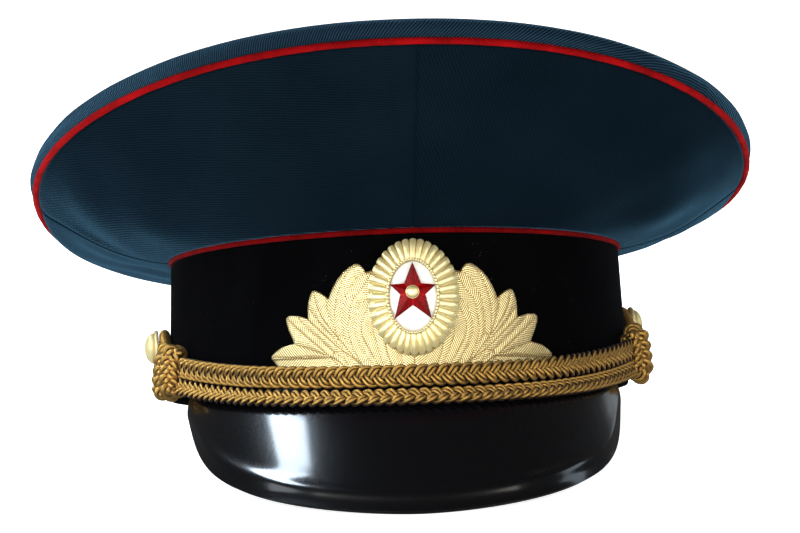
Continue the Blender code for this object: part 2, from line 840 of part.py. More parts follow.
def build_enamel(frame):
    """The white oval: a plate with a low dome, set inside the cockade."""
    rings = [oval_ring(ENAMEL_HALF_WIDTH, ENAMEL_HALF_HEIGHT, 0.0, OVAL_STEPS)]
    for share, rise in ENAMEL_PROFILE:
        depth = COCKADE_DEPTH + ENAMEL_DOME * rise
        rings.append(oval_ring(ENAMEL_HALF_WIDTH * share, ENAMEL_HALF_HEIGHT * share, depth, OVAL_STEPS))
    add_object("badge_enamel", loft_solid("badge_enamel", rings), WHITE_ENAMEL, frame)


def build_star(frame):
    """The red star: a plate whose arms rise to a point under the boss."""
    back = COCKADE_DEPTH + ENAMEL_DOME + GAP

    def ring(depth, share):
        return [
            Vector((x * STAR_HALF_WIDTH * share, -depth, STAR_RAISE + z * STAR_HALF_HEIGHT * share))
            for x, z in STAR_OUTLINE
        ]

    peak = back + STAR_PLATE + STAR_PEAK * (1 - STAR_FLAT_SHARE)
    sections = [ring(back, 1.0), ring(back + STAR_PLATE, 1.0), ring(peak, STAR_FLAT_SHARE)]
    add_object("badge_star", loft_solid("badge_star", sections), RED_ENAMEL, frame)
    base = peak + GAP
    rings = []
    for share, rise in BOSS_PROFILE:
        radius = BOSS_RADIUS * share
        ring_points = oval_ring(radius, radius, base + BOSS_HEIGHT * rise, BOSS_STEPS)
        rings.append([p + Vector((0, 0, STAR_RAISE)) for p in ring_points])
    add_object("badge_boss", loft_solid("badge_boss", rings), BRIGHT_BRASS, frame)


# Assembly


def world_points(made):
    """The corners of an object as it is built."""
    graph = bpy.context.evaluated_depsgraph_get()
    built = made.evaluated_get(graph)
    mesh = built.to_mesh()
    points = [built.matrix_world @ corner.co for corner in mesh.vertices]
    built.to_mesh_clear()
    return points


def stand(frame, visor, band):
    """Leans the cap back until its visor and its band touch the floor together, and puts the floor's
    contact height and the middle of the whole cap at the origin."""
    bpy.context.view_layer.update()
    front = world_points(visor)
    rear = world_points(band)

    def lowest(points, lean):
        s, c = turn(lean)
        return min(p.z * c - p.y * s for p in points)

    low, high = 0.0, 45.0
    for _ in range(40):
        lean = (low + high) / 2
        if lowest(front, lean) < lowest(rear, lean):
            low = lean
        else:
            high = lean
    frame.rotation_euler = (-math.radians(lean), 0, 0)
    bpy.context.view_layer.update()
    solids = [o for o in bpy.data.collections["visor_cap"].objects if o.type != "EMPTY"]
    points = [p for o in solids for p in world_points(o)]
    lows = [min(p[i] for p in points) for i in range(3)]
    highs = [max(p[i] for p in points) for i in range(3)]
    frame.location = (-(lows[0] + highs[0]) / 2, -(lows[1] + highs[1]) / 2, -lows[2])


def main():
    for old in list(bpy.data.objects):
        bpy.data.objects.remove(old, do_unlink=True)
    cap = bpy.data.collections.new("visor_cap")
    guides = bpy.data.collections.new("guides")
    guides.hide_render = True
    for collection in (cap, guides):
        bpy.context.scene.collection.children.link(collection)
    frame = bpy.data.objects.new("cap_frame", None)
    cap.objects.link(frame)
    band = build_band(frame)
    visor = build_visor(frame)
    build_crown(frame)
    build_cords(frame, guides)
    for name, side in SIDES.items():
        build_knot(name, side, frame)
        build_loop(name, side, frame)
        build_button(name, side, frame)
    build_wreath(frame)
    badge = badge_frame(frame)
    build_cockade(badge)
    build_bead_rim(badge)
    build_enamel(badge)
    build_star(badge)
    stand(frame, visor, band)


main()
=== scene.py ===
"""Visor cap: the finished surfaces of a peaked officer's cap, its stage, light and camera.

Lengths are metres and angles are degrees unless a name says otherwise. The cap's own frame has its
origin at the centre of the band's lower edge, -Y to the front, +X to the viewer's right and +Z square
to that edge. An angle round the cap runs from the front (0) towards +X.
"""

import math

import bpy
import numpy as np
from bpy.props import FloatProperty, IntProperty, PointerProperty
from mathutils import Euler, Matrix, Vector


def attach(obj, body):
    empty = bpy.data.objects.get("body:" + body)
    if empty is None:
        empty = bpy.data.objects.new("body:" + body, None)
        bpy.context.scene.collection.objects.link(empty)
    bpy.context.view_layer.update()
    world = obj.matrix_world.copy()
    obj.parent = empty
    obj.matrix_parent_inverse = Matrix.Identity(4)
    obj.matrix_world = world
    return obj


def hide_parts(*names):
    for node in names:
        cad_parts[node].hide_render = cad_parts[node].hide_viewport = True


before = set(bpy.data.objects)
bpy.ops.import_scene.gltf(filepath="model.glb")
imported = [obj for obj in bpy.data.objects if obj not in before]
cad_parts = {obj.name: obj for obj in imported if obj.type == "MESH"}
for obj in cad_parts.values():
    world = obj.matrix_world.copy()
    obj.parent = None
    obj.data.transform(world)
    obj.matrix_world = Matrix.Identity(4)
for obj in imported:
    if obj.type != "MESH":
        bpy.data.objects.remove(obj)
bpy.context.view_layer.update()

bl_info = {
    "name": "Visor cap",
    "version": (1, 0, 0),
    "blender": (4, 5, 0),
    "location": "3D View > Sidebar > Cap",
    "description": "Builds the finished surfaces of a visor cap over its CAD frame",
    "category": "Add Mesh",
}

# How the cap stands: leaned back about X, then moved
LEAN = math.radians(11.025356)
STAND = (0.0, -0.0076599, 0.0202718)

# The space between pieces that meet, how far the quarters overlap at their seams, and how far the
# cloth and the band reach into the pipings, which closes the seams
GAP = 0.0003
SEAM_OVERLAP = 0.0003
SEAM_BITE = 0.0002

# Band
BAND_HALF_WIDTH = 0.088
BAND_HALF_LENGTH = 0.106
BAND_HEIGHT = 0.053
BAND_TOP_IN = 0.002
BAND_WALL = 0.0025
BAND_PIPING_RADIUS = 0.001

# Crown
RIM_OVERHANG_SIDE = 0.049
RIM_OVERHANG_END = 0.0376
RIM_BACKWARD = 0.006
RIM_SQUARENESS = 0.93
RIM_RISE = 0.028
RIM_SLOPE = 0.031
RIM_SADDLE = 0.0032
RIM_LIFT = 0.0036
RIM_LIFT_START = 85.0
RIM_LIFT_END = 180.0
RIM_LIFT_CHANGE = 38.0
CROWN_PIPING_RADIUS = 0.00125
TOP_ROLL_HEIGHT = 0.0085
TOP_ROLL_OUT = 0.0018
TOP_SAG = 0.002
TOP_ROLL_WAVE = 0.0002
FRONT_SEAM_ANGLE = 1.6
SIDE_SEAM_ANGLE = 90.0
SEAM_DIP_WIDTH = 0.0009
SWELL_START = 80.0
SWELL_START_CHANGE = 22.0
SWELL_END = 176.0
SWELL_END_CHANGE = 30.0
LEVEL_RIB_SLOPE = 60.0

# Visor
VISOR_HALF_ANGLE = 66.0
VISOR_LENGTH = 0.0567
VISOR_TUCK = 0.0012
VISOR_END_LENGTH = 0.0073
VISOR_ROUNDNESS = 1.8
VISOR_SLOPE = 54.2
VISOR_END_SLOPE = 79.7
VISOR_SLOPE_POWER = 2.5
VISOR_BOW = 0.0025
VISOR_WALL = 0.002
VISOR_RIDGE_IN = 0.0065
VISOR_RIDGE_FADE = 1.5
VISOR_RIDGE_END_SHARE = 0.34
VISOR_METRES_PER_DEGREE = 0.0017

# Chin cords, with their knots, loops and buttons
CORD_HALF_HEIGHT = 0.00355
CORD_HALF_DEPTH = 0.002
CORD_FRONT_HEIGHT = -0.0023
CORD_RISE_POWER = 2.2
CORD_KNOT_PUSH = 0.0024
CORD_PUSH_POWER = 6.0
CORD_SETTLE_ANGLE = 18.0
CORD_BLEND = 0.0008
KNOT_HALF_LENGTH = 0.0095
KNOT_HALF_HEIGHT = 0.0108
KNOT_HALF_DEPTH = 0.0046
KNOT_FORWARD = 0.003
KNOT_SPACING = 0.0072
KNOT_SHRINK = 0.15
KNOT_SLANT = 0.15
KNOT_SQUARENESS = 0.8
BUTTON_RADIUS = 0.007
BUTTON_DOME = 0.0042
BUTTON_DOME_INSET = 0.0011
BUTTON_RIM = 0.0008
BUTTON_RIM_MIDDLE = 0.0005
SHANK_RADIUS = 0.0018
LOOP_CORD_RADIUS = 0.002
LOOP_CLEARANCE = 0.0012
LOOP_START_DROP = 0.45
LOOP_RIB_PITCH = 0.0014
LOOP_GIRTH = 0.0126

# Badge
BADGE_SIDEWAYS = 0.0010
BADGE_TURN = 1.3
BADGE_SIDE_LEAN = 0.15
WREATH_HALF_WIDTH = 0.0492
WREATH_ROOT_HEIGHT = 0.002
WREATH_BACK = 0.0005
WREATH_PLATE = 0.0008
WREATH_RELIEF = 0.001
COCKADE_HEIGHT = 0.0291
COCKADE_HALF_WIDTH = 0.0163
COCKADE_HALF_HEIGHT = 0.0208
COCKADE_DEPTH = 0.003
COCKADE_SCALLOP = 0.035
FLUTES = 36
FLUTE_DEPTH = 0.0007
ENAMEL_HALF_WIDTH = 0.0084
ENAMEL_HALF_HEIGHT = 0.0124
ENAMEL_DOME = 0.0009
BEAD_RIM_RADIUS = 0.0006
STAR_HALF_WIDTH = 0.008162
STAR_HALF_HEIGHT = 0.010706
STAR_RAISE = 0.0012
STAR_PLATE = 0.0006
STAR_PEAK = 0.000864
BOSS_RADIUS = 0.0024
BOSS_HEIGHT = 0.0008

# Camera in the cap's own frame: its pitch, yaw and roll, the height that it looks at, its distance
CAMERA_TURN = (-4.767, -2.559, 2.106)
CAMERA_AIM_HEIGHT = 0.046
CAMERA_DISTANCE = 1.2
CAMERA_SENSOR = 36
CAMERA_LENS = 139.83
CAMERA_SHIFT = (0.0066, 0.0109)

# The two ends of the cords: sign of X, angle and height of the knot, angle and height of the button
SIDES = {
    "left": (-1, 71.5, 0.0093, 85.0, 0.0202),
    "right": (1, 76.0, 0.0110, 96.0, 0.0245),
}

# Crown section by angle: (angle, leaving direction, reaching direction, two handle shares)
CROWN_SECTIONS = np.array((
    (0, 58, 64, 0.35, 0.35),
    (45, 34, 56, 0.38, 0.38),
    (90, 8, 38, 0.40, 0.40),
    (135, -1, 20, 0.42, 0.38),
    (180, -8, 16, 0.42, 0.38),
))

# Outline of the wreath's right half, from its top to its lowest leaf: (sideways, upwards) in
# millimetres from the middle of its lower edge
WREATH_OUTLINE = np.array((
    (0.0, 35.5), (10.3, 38.0), (16.8, 36.3), (17.6, 38.0), (18.9, 39.3), (20.3, 39.4), (22.5, 38.2),
    (24.5, 36.5), (26.4, 34.2), (27.8, 31.8), (29.0, 29.3), (29.7, 27.2), (31.2, 28.5), (32.8, 29.7),
    (34.4, 30.5), (35.2, 30.3), (35.9, 29.0), (36.6, 26.7), (36.9, 24.0), (36.9, 20.5), (39.1, 21.3),
    (41.2, 21.9), (43.5, 21.9), (44.45, 21.0), (44.2, 19.0), (43.6, 16.8), (42.7, 14.6), (41.75, 12.0),
    (46.0, 10.9), (48.3, 9.3), (49.75, 7.8), (49.6, 6.8), (47.0, 3.0), (45.3, 1.2),
))

# Ribs of the leaves on the same half, each from its tip to its root, in the same millimetres
LEAF_RIBS = (
    ((49.7, 7.5), (41.8, 6.9), (32.7, 7.0), (27.8, 6.0), (22.0, 1.0)),
    ((44.2, 21.5), (43.1, 20.1), (40.3, 17.1), (37.5, 14.5), (32.7, 10.0), (29.9, 7.4), (24.0, 1.0)),
    ((37.1, 20.8), (34.0, 17.5), (29.8, 13.4), (24.7, 8.7), (22.6, 7.2), (15.0, 1.0)),
    ((34.7, 30.5), (33.5, 24.9), (31.8, 20.9), (27.7, 15.1), (24.3, 10.8), (21.5, 7.1), (17.0, 1.0)),
    ((19.5, 39.4), (22.9, 36.5), (25.4, 31.5), (27.0, 25.4), (27.4, 19.0), (26.4, 12.6), (22.0, 1.0)),
    ((17.0, 32.0), (18.3, 30.0), (21.3, 26.2), (22.4, 20.6), (22.8, 15.3), (21.8, 11.4), (17.0, 1.0)),
    ((16.5, 22.8), (18.2, 18.5), (18.1, 14.5), (15.8, 9.5), (13.9, 5.9), (11.5, 1.0)),
    ((10.0, 15.0), (9.8, 10.0), (8.5, 5.0), (6.0, 0.0)),
    ((0.0, 12.0), (0.0, 0.0)),
)


# Geometry helpers

# Points that round off each end of a swept piece
CAP_STEPS = 4


def turn(degrees):
    """The sine and the cosine of angles in degrees."""
    return np.sin(np.radians(degrees)), np.cos(np.radians(degrees))


def unit(vectors):
    """Vectors divided by their own lengths."""
    return vectors / np.linalg.norm(vectors, axis=-1, keepdims=True)


def signed_power(value, power):
    """A power of a value's size, with the value's sign."""
    return np.sign(value) * np.abs(value) ** power


def smooth_step(share):
    """0 below 0, 1 above 1, and three squares less two cubes of the share between them."""
    share = np.clip(share, 0.0, 1.0)
    return share * share * (3 - 2 * share)


def soft_larger(first, second):
    """The larger of two lengths, rounded where they are nearly the same: half of their sum and of the
    hypotenuse over their difference and CORD_BLEND."""
    return (first + second + np.hypot(first - second, CORD_BLEND)) / 2


def together(*parts):
    """Arrays spread to one shape and joined along a new last direction."""
    return np.stack(np.broadcast_arrays(*parts), -1)


def vector(x, y, z):
    """Points or directions from their three coordinates."""
    return together(x, y, z).astype(float)


def grid(rows, columns):
    """Row and column shares from 0 to 1, as two arrays of shape (rows, columns)."""
    return np.meshgrid(np.linspace(0, 1, rows), np.linspace(0, 1, columns), indexing="ij")


def stand(points):
    """Moves points from the cap's own frame to where the cap stands."""
    s, c = math.sin(LEAN), math.cos(LEAN)
    x, y, z = np.moveaxis(points, -1, 0)
    return vector(x, y * c + z * s, z * c - y * s) + np.array(STAND)


def smooth_through(keys, values, at):
    """Values on a smooth curve through a table's rows: a cubic on each stretch, whose end slopes are
    those of the line between the neighbours."""
    keys, values, at = (np.asarray(v, float) for v in (keys, values, at))
    slopes = np.gradient(values, keys, axis=0)
    low = np.clip(np.searchsorted(keys, at, side="right") - 1, 0, len(keys) - 2)
    span = keys[low + 1] - keys[low]
    t = (at - keys[low]) / span
    if values.ndim > 1:
        t, span = t[..., None], span[..., None]
    start = values[low] * (1 + 2 * t) * (1 - t) ** 2 + slopes[low] * span * t * (1 - t) ** 2
    end = values[low + 1] * t * t * (3 - 2 * t) - slopes[low + 1] * span * t * t * (1 - t)
    return start + end


def band_axes(height):
    """The half width and half length of the band's oval at a height. It narrows evenly upwards."""
    lean = BAND_TOP_IN * height / BAND_HEIGHT
    return BAND_HALF_WIDTH - lean, BAND_HALF_LENGTH - lean


def on_band(angle, height, standoff=0.0):
    """Points on the band's outer face, whose places are the sine of the angle times the half width and
    minus its cosine times the half length, or points off it along its outward direction."""
    half_width, half_length = band_axes(height)
    s, c = turn(angle)
    out = unit(vector(s / half_width, -c / half_length, 0.0))
    return vector(half_width * s, -half_length * c, height) + out * np.asarray(standoff)[..., None]


def on_front(x, height, standoff):
    """Points on the band's front, or off it, given by how far sideways they lie."""
    return on_band(np.degrees(np.arcsin(x / band_axes(height)[0])), height, standoff)


def band_out(angle):
    """The level direction square to the band's oval at its lower edge."""
    s, c = turn(angle)
    return unit(vector(s / BAND_HALF_WIDTH, -c / BAND_HALF_LENGTH, 0.0))


def degrees_per_metre(angle):
    """The degrees of angle that one metre along the band's lower edge takes up."""
    s, c = turn(angle)
    return math.degrees(1.0 / math.hypot(BAND_HALF_WIDTH * c, BAND_HALF_LENGTH * s))


def rim_point(angle):
    """Points of the rim and its lift. The rim is an oval of powers of the sine and the cosine. Its height
    follows the cosine, which slopes it to the rear, the cosine of twice the angle, which bends it like
    a saddle, and a smooth lift over the right rear."""
    s, c = turn(angle)
    turned = np.asarray(angle) % 360
    lift = RIM_LIFT * smooth_step((turned - RIM_LIFT_START) / RIM_LIFT_CHANGE)
    lift = lift * smooth_step((RIM_LIFT_END - turned) / RIM_LIFT_CHANGE)
    return vector(
        (BAND_HALF_WIDTH + RIM_OVERHANG_SIDE) * signed_power(s, RIM_SQUARENESS),
        RIM_BACKWARD - (BAND_HALF_LENGTH + RIM_OVERHANG_END) * signed_power(c, RIM_SQUARENESS),
        BAND_HEIGHT + RIM_RISE + RIM_SLOPE * c + RIM_SADDLE * (2 * c * c - 1) + lift,
    ), lift


def crown_point(angle, share):
    """A point on the crown's cloth: share runs along a cubic curve from the band's seam to the rim."""
    seam = on_band(angle, BAND_HEIGHT)
    rim, _ = rim_point(angle)
    around = np.abs((angle + 180) % 360 - 180)
    leave, reach, first_share, second_share = (
        np.interp(around, CROWN_SECTIONS[:, 0], CROWN_SECTIONS[:, i]) for i in range(1, 5)
    )
    chord = rim - seam
    length = np.linalg.norm(chord, axis=-1, keepdims=True)
    plan = unit(chord * (1, 1, 0))
    s, c = turn(leave)
    first = seam + (plan * c[..., None] + vector(0, 0, s)) * length * first_share[..., None]
    s, c = turn(reach)
    second = rim - (plan * c[..., None] + vector(0, 0, s)) * length * second_share[..., None]
    low = (BAND_PIPING_RADIUS - SEAM_BITE) / length[..., 0]
    high = 1 - (CROWN_PIPING_RADIUS - SEAM_BITE) / length[..., 0]
    t = (low + (high - low) * share)[..., None]
    r = 1 - t
    return seam * r**3 + first * 3 * r * r * t + second * 3 * r * t * t + rim * t**3


def grid_normals(points):
    """Unit directions square to a grid: the cross product of its steps along and across."""
    return unit(np.cross(np.gradient(points, axis=1), np.gradient(points, axis=0)))


def arc_length(path):
    """The length of a path up to each of its points."""
    steps = np.linalg.norm(np.diff(path, axis=0), axis=-1)
    return np.concatenate(((0.0,), np.cumsum(steps)))


def tangents(path, closed=False):
    """Unit directions along a path. A closed path repeats its first point at its end."""
    if closed:
        step = np.diff(path, axis=0)
        after = np.concatenate((step, step[:1]))
        return unit(after + np.concatenate((step[-1:], step)))
    return unit(np.gradient(path, axis=0))


def sweep(path, out, section, closed=False):
    """Carries a section along a path. The section's first coordinate runs across the path and its
    second runs along the outward direction, squared up to the path."""
    tangent = tangents(path, closed)
    out = unit(out - tangent * np.sum(out * tangent, axis=-1, keepdims=True))
    across = np.cross(out, tangent)
    section = np.broadcast_to(section, (len(path),) + np.shape(section)[-2:])
    return (
        path[:, None]
        + across[:, None] * section[..., 0, None]
        + out[:, None] * section[..., 1, None]
    )


def circle(count):
    """A circle of radius 1, whose last point is its first one again."""
    turned = np.linspace(0, 2 * np.pi, count + 1)
    return np.stack((np.sin(turned), np.cos(turned)), -1)


def capped(path, reach):
    """A path carried on past both ends by a reach, with CAP_STEPS more points at each, and the shares
    that round a section off there: those of a quarter circle."""
    turned = np.linspace(np.pi / 2, 0, CAP_STEPS, endpoint=False)
    start, end = unit(path[0] - path[1]), unit(path[-1] - path[-2])
    before = path[0] + start * np.sin(turned)[:, None] * reach
    after = path[-1] + end * np.sin(turned[::-1])[:, None] * reach
    shares = np.concatenate((np.cos(turned), np.ones(len(path)), np.cos(turned[::-1])))
    return np.concatenate((before, path, after)), shares


def corners_of(table):
    """The entries of a grid's table at the four corners of each of its faces."""
    return np.stack((table[:-1, :-1], table[:-1, 1:], table[1:, 1:], table[1:, :-1]), -1)


def patch(points, uv, around=False, ring=False, poles=(False, False), tone=None):
    """The faces of a grid of points. around joins the last column to the first, ring joins the last
    row to the first, and a pole gathers an end row into one point. A closed patch is turned so that
    its faces look outwards. The surface coordinates are given for each point, or for each face's
    four corners."""
    rows, columns = points.shape[:2]
    places = np.arange(rows * columns).reshape(rows, columns)
    ids = places.copy()
    if around:
        ids[:, -1] = ids[:, 0]
    if ring:
        ids[-1] = ids[0]
    if poles[0]:
        ids[0] = ids[0, 0]
    if poles[1]:
        ids[-1] = ids[-1, 0]
    quads, spots = corners_of(ids).reshape(-1, 4), corners_of(places).reshape(-1, 4)
    flat = points.reshape(-1, 3)
    order = 1
    if ring or (around and all(poles)):
        a, b, c, d = (flat[quads[:, i]] for i in range(4))
        volume = np.sum(a * (np.cross(b, c) + np.cross(c, d)))
        order = -1 if volume < 0 else 1
    quads, spots = quads[:, ::order], spots[:, ::order]
    keep = quads != np.roll(quads, 1, axis=1)
    used, loops = np.unique(quads[keep], return_inverse=True)
    tone = np.broadcast_to(0.0 if tone is None else tone, (rows, columns)).reshape(-1)
    if uv.ndim == 4:
        uv = uv.reshape(-1, 4, 2)[:, ::order][keep]
    else:
        uv = uv.reshape(-1, 2)[spots[keep]]
    return flat[used], tone[used], loops.ravel(), keep.sum(1), uv


def make_piece(name, patches, finish, crease=None):
    """One mesh object from patches, which stands for the CAD node of its name and takes the finish
    that it is given."""
    counts = [len(part[0]) for part in patches]
    points, tones, loops, sizes, uv = (np.concatenate(parts) for parts in zip(*patches))
    loops = loops + np.repeat(np.cumsum(counts) - counts, [len(part[2]) for part in patches])
    mesh = bpy.data.meshes.new(name)
    mesh.vertices.add(len(points))
    mesh.vertices.foreach_set("co", stand(points).ravel())
    mesh.loops.add(len(loops))
    mesh.loops.foreach_set("vertex_index", loops.astype(np.int32))
    mesh.polygons.add(len(sizes))
    mesh.polygons.foreach_set("loop_start", (np.cumsum(sizes) - sizes).astype(np.int32))
    mesh.uv_layers.new(name="surface").uv.foreach_set("vector", uv.ravel())
    # Each point's tone is painted shade, which the finishes read to darken the colour
    mesh.attributes.new("painted_shade", "FLOAT", "POINT").data.foreach_set("value", tones)
    mesh.update(calc_edges=True)
    mesh.validate()
    mesh.shade_smooth()
    if crease:
        mesh.set_sharp_from_angle(angle=math.radians(crease))
    mesh.materials.append(finish)
    piece = bpy.data.objects.new(name, mesh)
    bpy.context.scene.collection.objects.link(piece)
    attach(piece, "root")
    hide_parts(name)
    return piece


def add_wall(piece, thickness, round_edge=0.0):
    """Gives a sheet a thickness inwards and, where asked, rounds its edges off."""
    wall = piece.modifiers.new("wall", "SOLIDIFY")
    wall.thickness = thickness
    wall.offset = -1.0
    if round_edge:
        edge = piece.modifiers.new("edge", "BEVEL")
        edge.width = round_edge
        edge.segments = 2
        edge.limit_method = "ANGLE"
        edge.angle_limit = math.radians(60)


# Shader helpers


class Socket:
    """A shader value with arithmetic."""

    def __init__(self, finish, socket):
        self.finish = finish
        self.socket = socket

    def math(self, operation, *values):
        """One math operation on this value and further ones."""
        inputs = dict(enumerate((self, *values)))
        return self.finish.node("ShaderNodeMath", {"operation": operation}, inputs)

    def __add__(self, other):
        return self.math("ADD", other)

    def __sub__(self, other):
        return self.math("SUBTRACT", other)

    def __mul__(self, other):
        return self.math("MULTIPLY", other)

    def __rsub__(self, other):
        return self.finish.node("ShaderNodeMath", {"operation": "SUBTRACT"}, {0: other, 1: self})

    __radd__ = __add__
    __rmul__ = __mul__

    def sine(self):
        """The sine of this value in radians."""
        return self.math("SINE")

    def between(self, low, high):
        """0 at low, 1 at high, with a smooth change."""
        settings = {"interpolation_type": "SMOOTHSTEP"}
        inputs = {"Value": self, "From Min": low, "From Max": high}
        return self.finish.node("ShaderNodeMapRange", settings, inputs)


class Finish:
    """A material whose Principled shader is fed from nodes."""

    def __init__(self, name, **constants):
        self.material = bpy.data.materials.new(name)
        self.material.use_nodes = True
        self.tree = self.material.node_tree
        self.shader = self.tree.nodes["Principled BSDF"]
        for key, value in constants.items():
            socket = key.replace("_", " ").title().replace("Ior", "IOR")
            self.shader.inputs[socket].default_value = value

    def node(self, kind, settings=None, inputs=None, output=0):
        """One shader node and the value that it gives. Each input is a number or another node's value."""
        made = self.tree.nodes.new(kind)
        for key, value in (settings or {}).items():
            setattr(made, key, value)
        for key, value in (inputs or {}).items():
            if isinstance(value, Socket):
                self.tree.links.new(value.socket, made.inputs[key])
            else:
                made.inputs[key].default_value = value
        return Socket(self, made.outputs[output])

    def feed(self, name, value):
        """Joins a value to an input of the material's own shader."""
        self.tree.links.new(value.socket, self.shader.inputs[name])

    def place(self):
        """The place of a point in the piece's own coordinates, in metres."""
        return self.node("ShaderNodeTexCoord", output="Object")

    def surface(self):
        """The two lengths along the piece's own surface, in metres."""
        both = self.node("ShaderNodeUVMap", {"uv_map": "surface"})
        split = self.node("ShaderNodeSeparateXYZ", None, {0: both})
        return split, Socket(self, split.socket.node.outputs[1])

    def painted_shade(self):
        """The painted shade that the mesh holds for each of its points: how much darker each piece paints
        its colour there.
        """
        return self.node("ShaderNodeAttribute", {"attribute_name": "painted_shade"}, output="Fac")

    def noise(self, scale, detail, rough=0.5, stretch=None):
        """Soft noise between 0 and 1 with a scale of patches to the metre, in rising fineness."""
        at = self.place()
        if stretch:
            at = self.node("ShaderNodeMapping", None, {"Vector": at, "Scale": stretch})
        inputs = {"Vector": at, "Scale": scale, "Detail": detail, "Roughness": rough}
        return self.node("ShaderNodeTexNoise", None, inputs)

    def cells(self, scale):
        """The distance to the nearest of scattered points, a scale of them to the metre."""
        return self.node("ShaderNodeTexVoronoi", None, {"Vector": self.place(), "Scale": scale})

    def mix(self, share, first, second):
        """The first colour at a share of 0, the second at 1."""
        made = self.tree.nodes.new("ShaderNodeMix")
        made.data_type = "RGBA"
        for key, value in ((0, share), (6, first), (7, second)):
            if isinstance(value, Socket):
                self.tree.links.new(value.socket, made.inputs[key])
            else:
                made.inputs[key].default_value = (*value, 1.0) if key > 5 else value
        return Socket(self, made.outputs[2])

    def bump(self, height, distance, strength):
        """Tilts the shaded surface by the slopes of a height."""
        inputs = {"Height": height, "Distance": distance, "Strength": strength}
        self.feed("Normal", self.node("ShaderNodeBump", None, inputs))


# Finishes


def twill_finish(name, turned, pitch, bold, lit):
    """Dark teal wool twill. The ribs run at an angle to the surface's first direction, and each rib is
    broken into yarns by a second, finer wave. lit paints light and shade into the cloth by scaling its
    colours, which gives lit and shaded copies of one cloth."""
    cloth = Finish(name, roughness=0.9, sheen_weight=0.26, sheen_roughness=0.25,
                   sheen_tint=(0.21, 0.52, 0.80, 1.0), specular_ior_level=0.0)
    u, v = cloth.surface()
    s, c = turn(turned)
    warp = cloth.noise(140.0, 2.0) * 0.0009
    across = (u * -s + v * c + warp) * (2 * math.pi / pitch)
    along = (u * c + v * s + warp) * (2 * math.pi / (pitch * 0.62))
    rib = across.sine()
    yarn = (along + rib * 1.4).sine()
    fuzz = cloth.noise(2600.0, 3.0, 0.65)
    blotch = cloth.noise(22.0, 3.0, 0.55)
    lint = cloth.cells(900.0).between(0.10, 0.03) * cloth.noise(60.0, 1.0).between(0.5, 0.75)
    share = rib * bold + yarn * 0.13 + blotch * 0.5 + fuzz * 0.4 + 0.17
    # lit scales both colours: painted light and shade, in lighter and darker copies of the same cloth
    dark, pale = np.array(((0.0012, 0.0032, 0.0062), (0.0057, 0.0133, 0.0208))) * lit
    colour = cloth.mix(share.between(0.1, 1.1), dark, pale)
    cloth.feed("Base Color", cloth.mix(lint * 0.35, colour, (0.05, 0.09, 0.11)))
    cloth.feed("Roughness", 0.95 - rib * 0.04 - fuzz * 0.1)
    cloth.bump(rib * (bold * bold * 6) + yarn * 0.15 + fuzz * 0.45, 0.00016, 0.8)
    return cloth.material


def felt_finish(name, lit):
    """Scarlet felt over piping cord: short fuzz, with painted shade where the fuzz is low. lit paints light
    and shade into the felt by scaling its colours.
    """
    felt = Finish(name, roughness=0.9, sheen_weight=0.03, sheen_roughness=0.4,
                  sheen_tint=(1.0, 0.1, 0.1, 1.0), specular_ior_level=0.03)
    fuzz = felt.noise(1800.0, 4.0, 0.7)
    patchy = felt.noise(90.0, 3.0)
    # The colour follows the height of the fuzz's bump: painted shade where it is low
    share = (fuzz * 0.6 + patchy * 0.5).between(0.3, 0.85)
    dark, pale = np.array(((0.14, 0.0012, 0.0020), (0.50, 0.0045, 0.0065))) * lit
    felt.feed("Base Color", felt.mix(share, dark, pale))
    felt.feed("Roughness", 0.8 + fuzz * 0.2)
    felt.bump(fuzz + patchy * 0.8, 0.0003, 0.8)
    return felt.material


def velvet_finish():
    """Black velvet: a pile that is darkest seen square on, with a little pale lint caught in it."""
    pile = Finish("black_velvet", roughness=0.95, sheen_weight=0.012, sheen_roughness=0.3,
                  sheen_tint=(0.6, 0.65, 0.8, 1.0), specular_ior_level=0.04)
    nap = pile.noise(1500.0, 4.0, 0.7)
    brushed = pile.noise(45.0, 3.0, 0.6, stretch=(1.0, 1.0, 0.45))
    lint = pile.cells(420.0).between(0.09, 0.02) * pile.noise(130.0, 1.0).between(0.55, 0.72)
    share = (nap * 0.5 + brushed * 0.6).between(0.3, 0.85)
    colour = pile.mix(share, (0.0002, 0.0002, 0.0004), (0.0011, 0.0012, 0.0017))
    pile.feed("Base Color", pile.mix(lint * 0.5, colour, (0.16, 0.17, 0.18)))
    pile.feed("Roughness", 0.85 + nap * 0.15)
    pile.bump(nap * 0.7 + brushed, 0.0004, 0.6)
    return pile.material


def lacquer_finish():
    """Black lacquer over fibre: glossy, faintly rippled, with fine dust and hairline scuffs."""
    gloss = Finish("black_lacquer", roughness=0.22, coat_weight=1.0, coat_roughness=0.13,
                   coat_ior=1.5, specular_ior_level=0.12)
    ripple = gloss.noise(260.0, 2.0, 0.5)
    streak = gloss.noise(420.0, 3.0, 0.6, stretch=(1.0, 0.25, 0.3))
    broad = gloss.noise(28.0, 2.0, 0.5)
    grain = gloss.noise(2200.0, 3.0, 0.7)
    dust = gloss.cells(700.0).between(0.12, 0.03) * gloss.noise(190.0, 2.0).between(0.5, 0.66)
    share = dust * 0.4 + grain * 0.01
    gloss.feed("Base Color", gloss.mix(share, (0.0012, 0.0012, 0.0018), (0.10, 0.10, 0.10)))
    gloss.feed("Roughness", 0.20 + grain * 0.12 + dust * 0.3 + broad * 0.05)
    gloss.bump(ripple * 0.15 + streak * 0.35 + broad * 0.9 + grain * 0.03, 0.0006, 0.4)
    return gloss.material


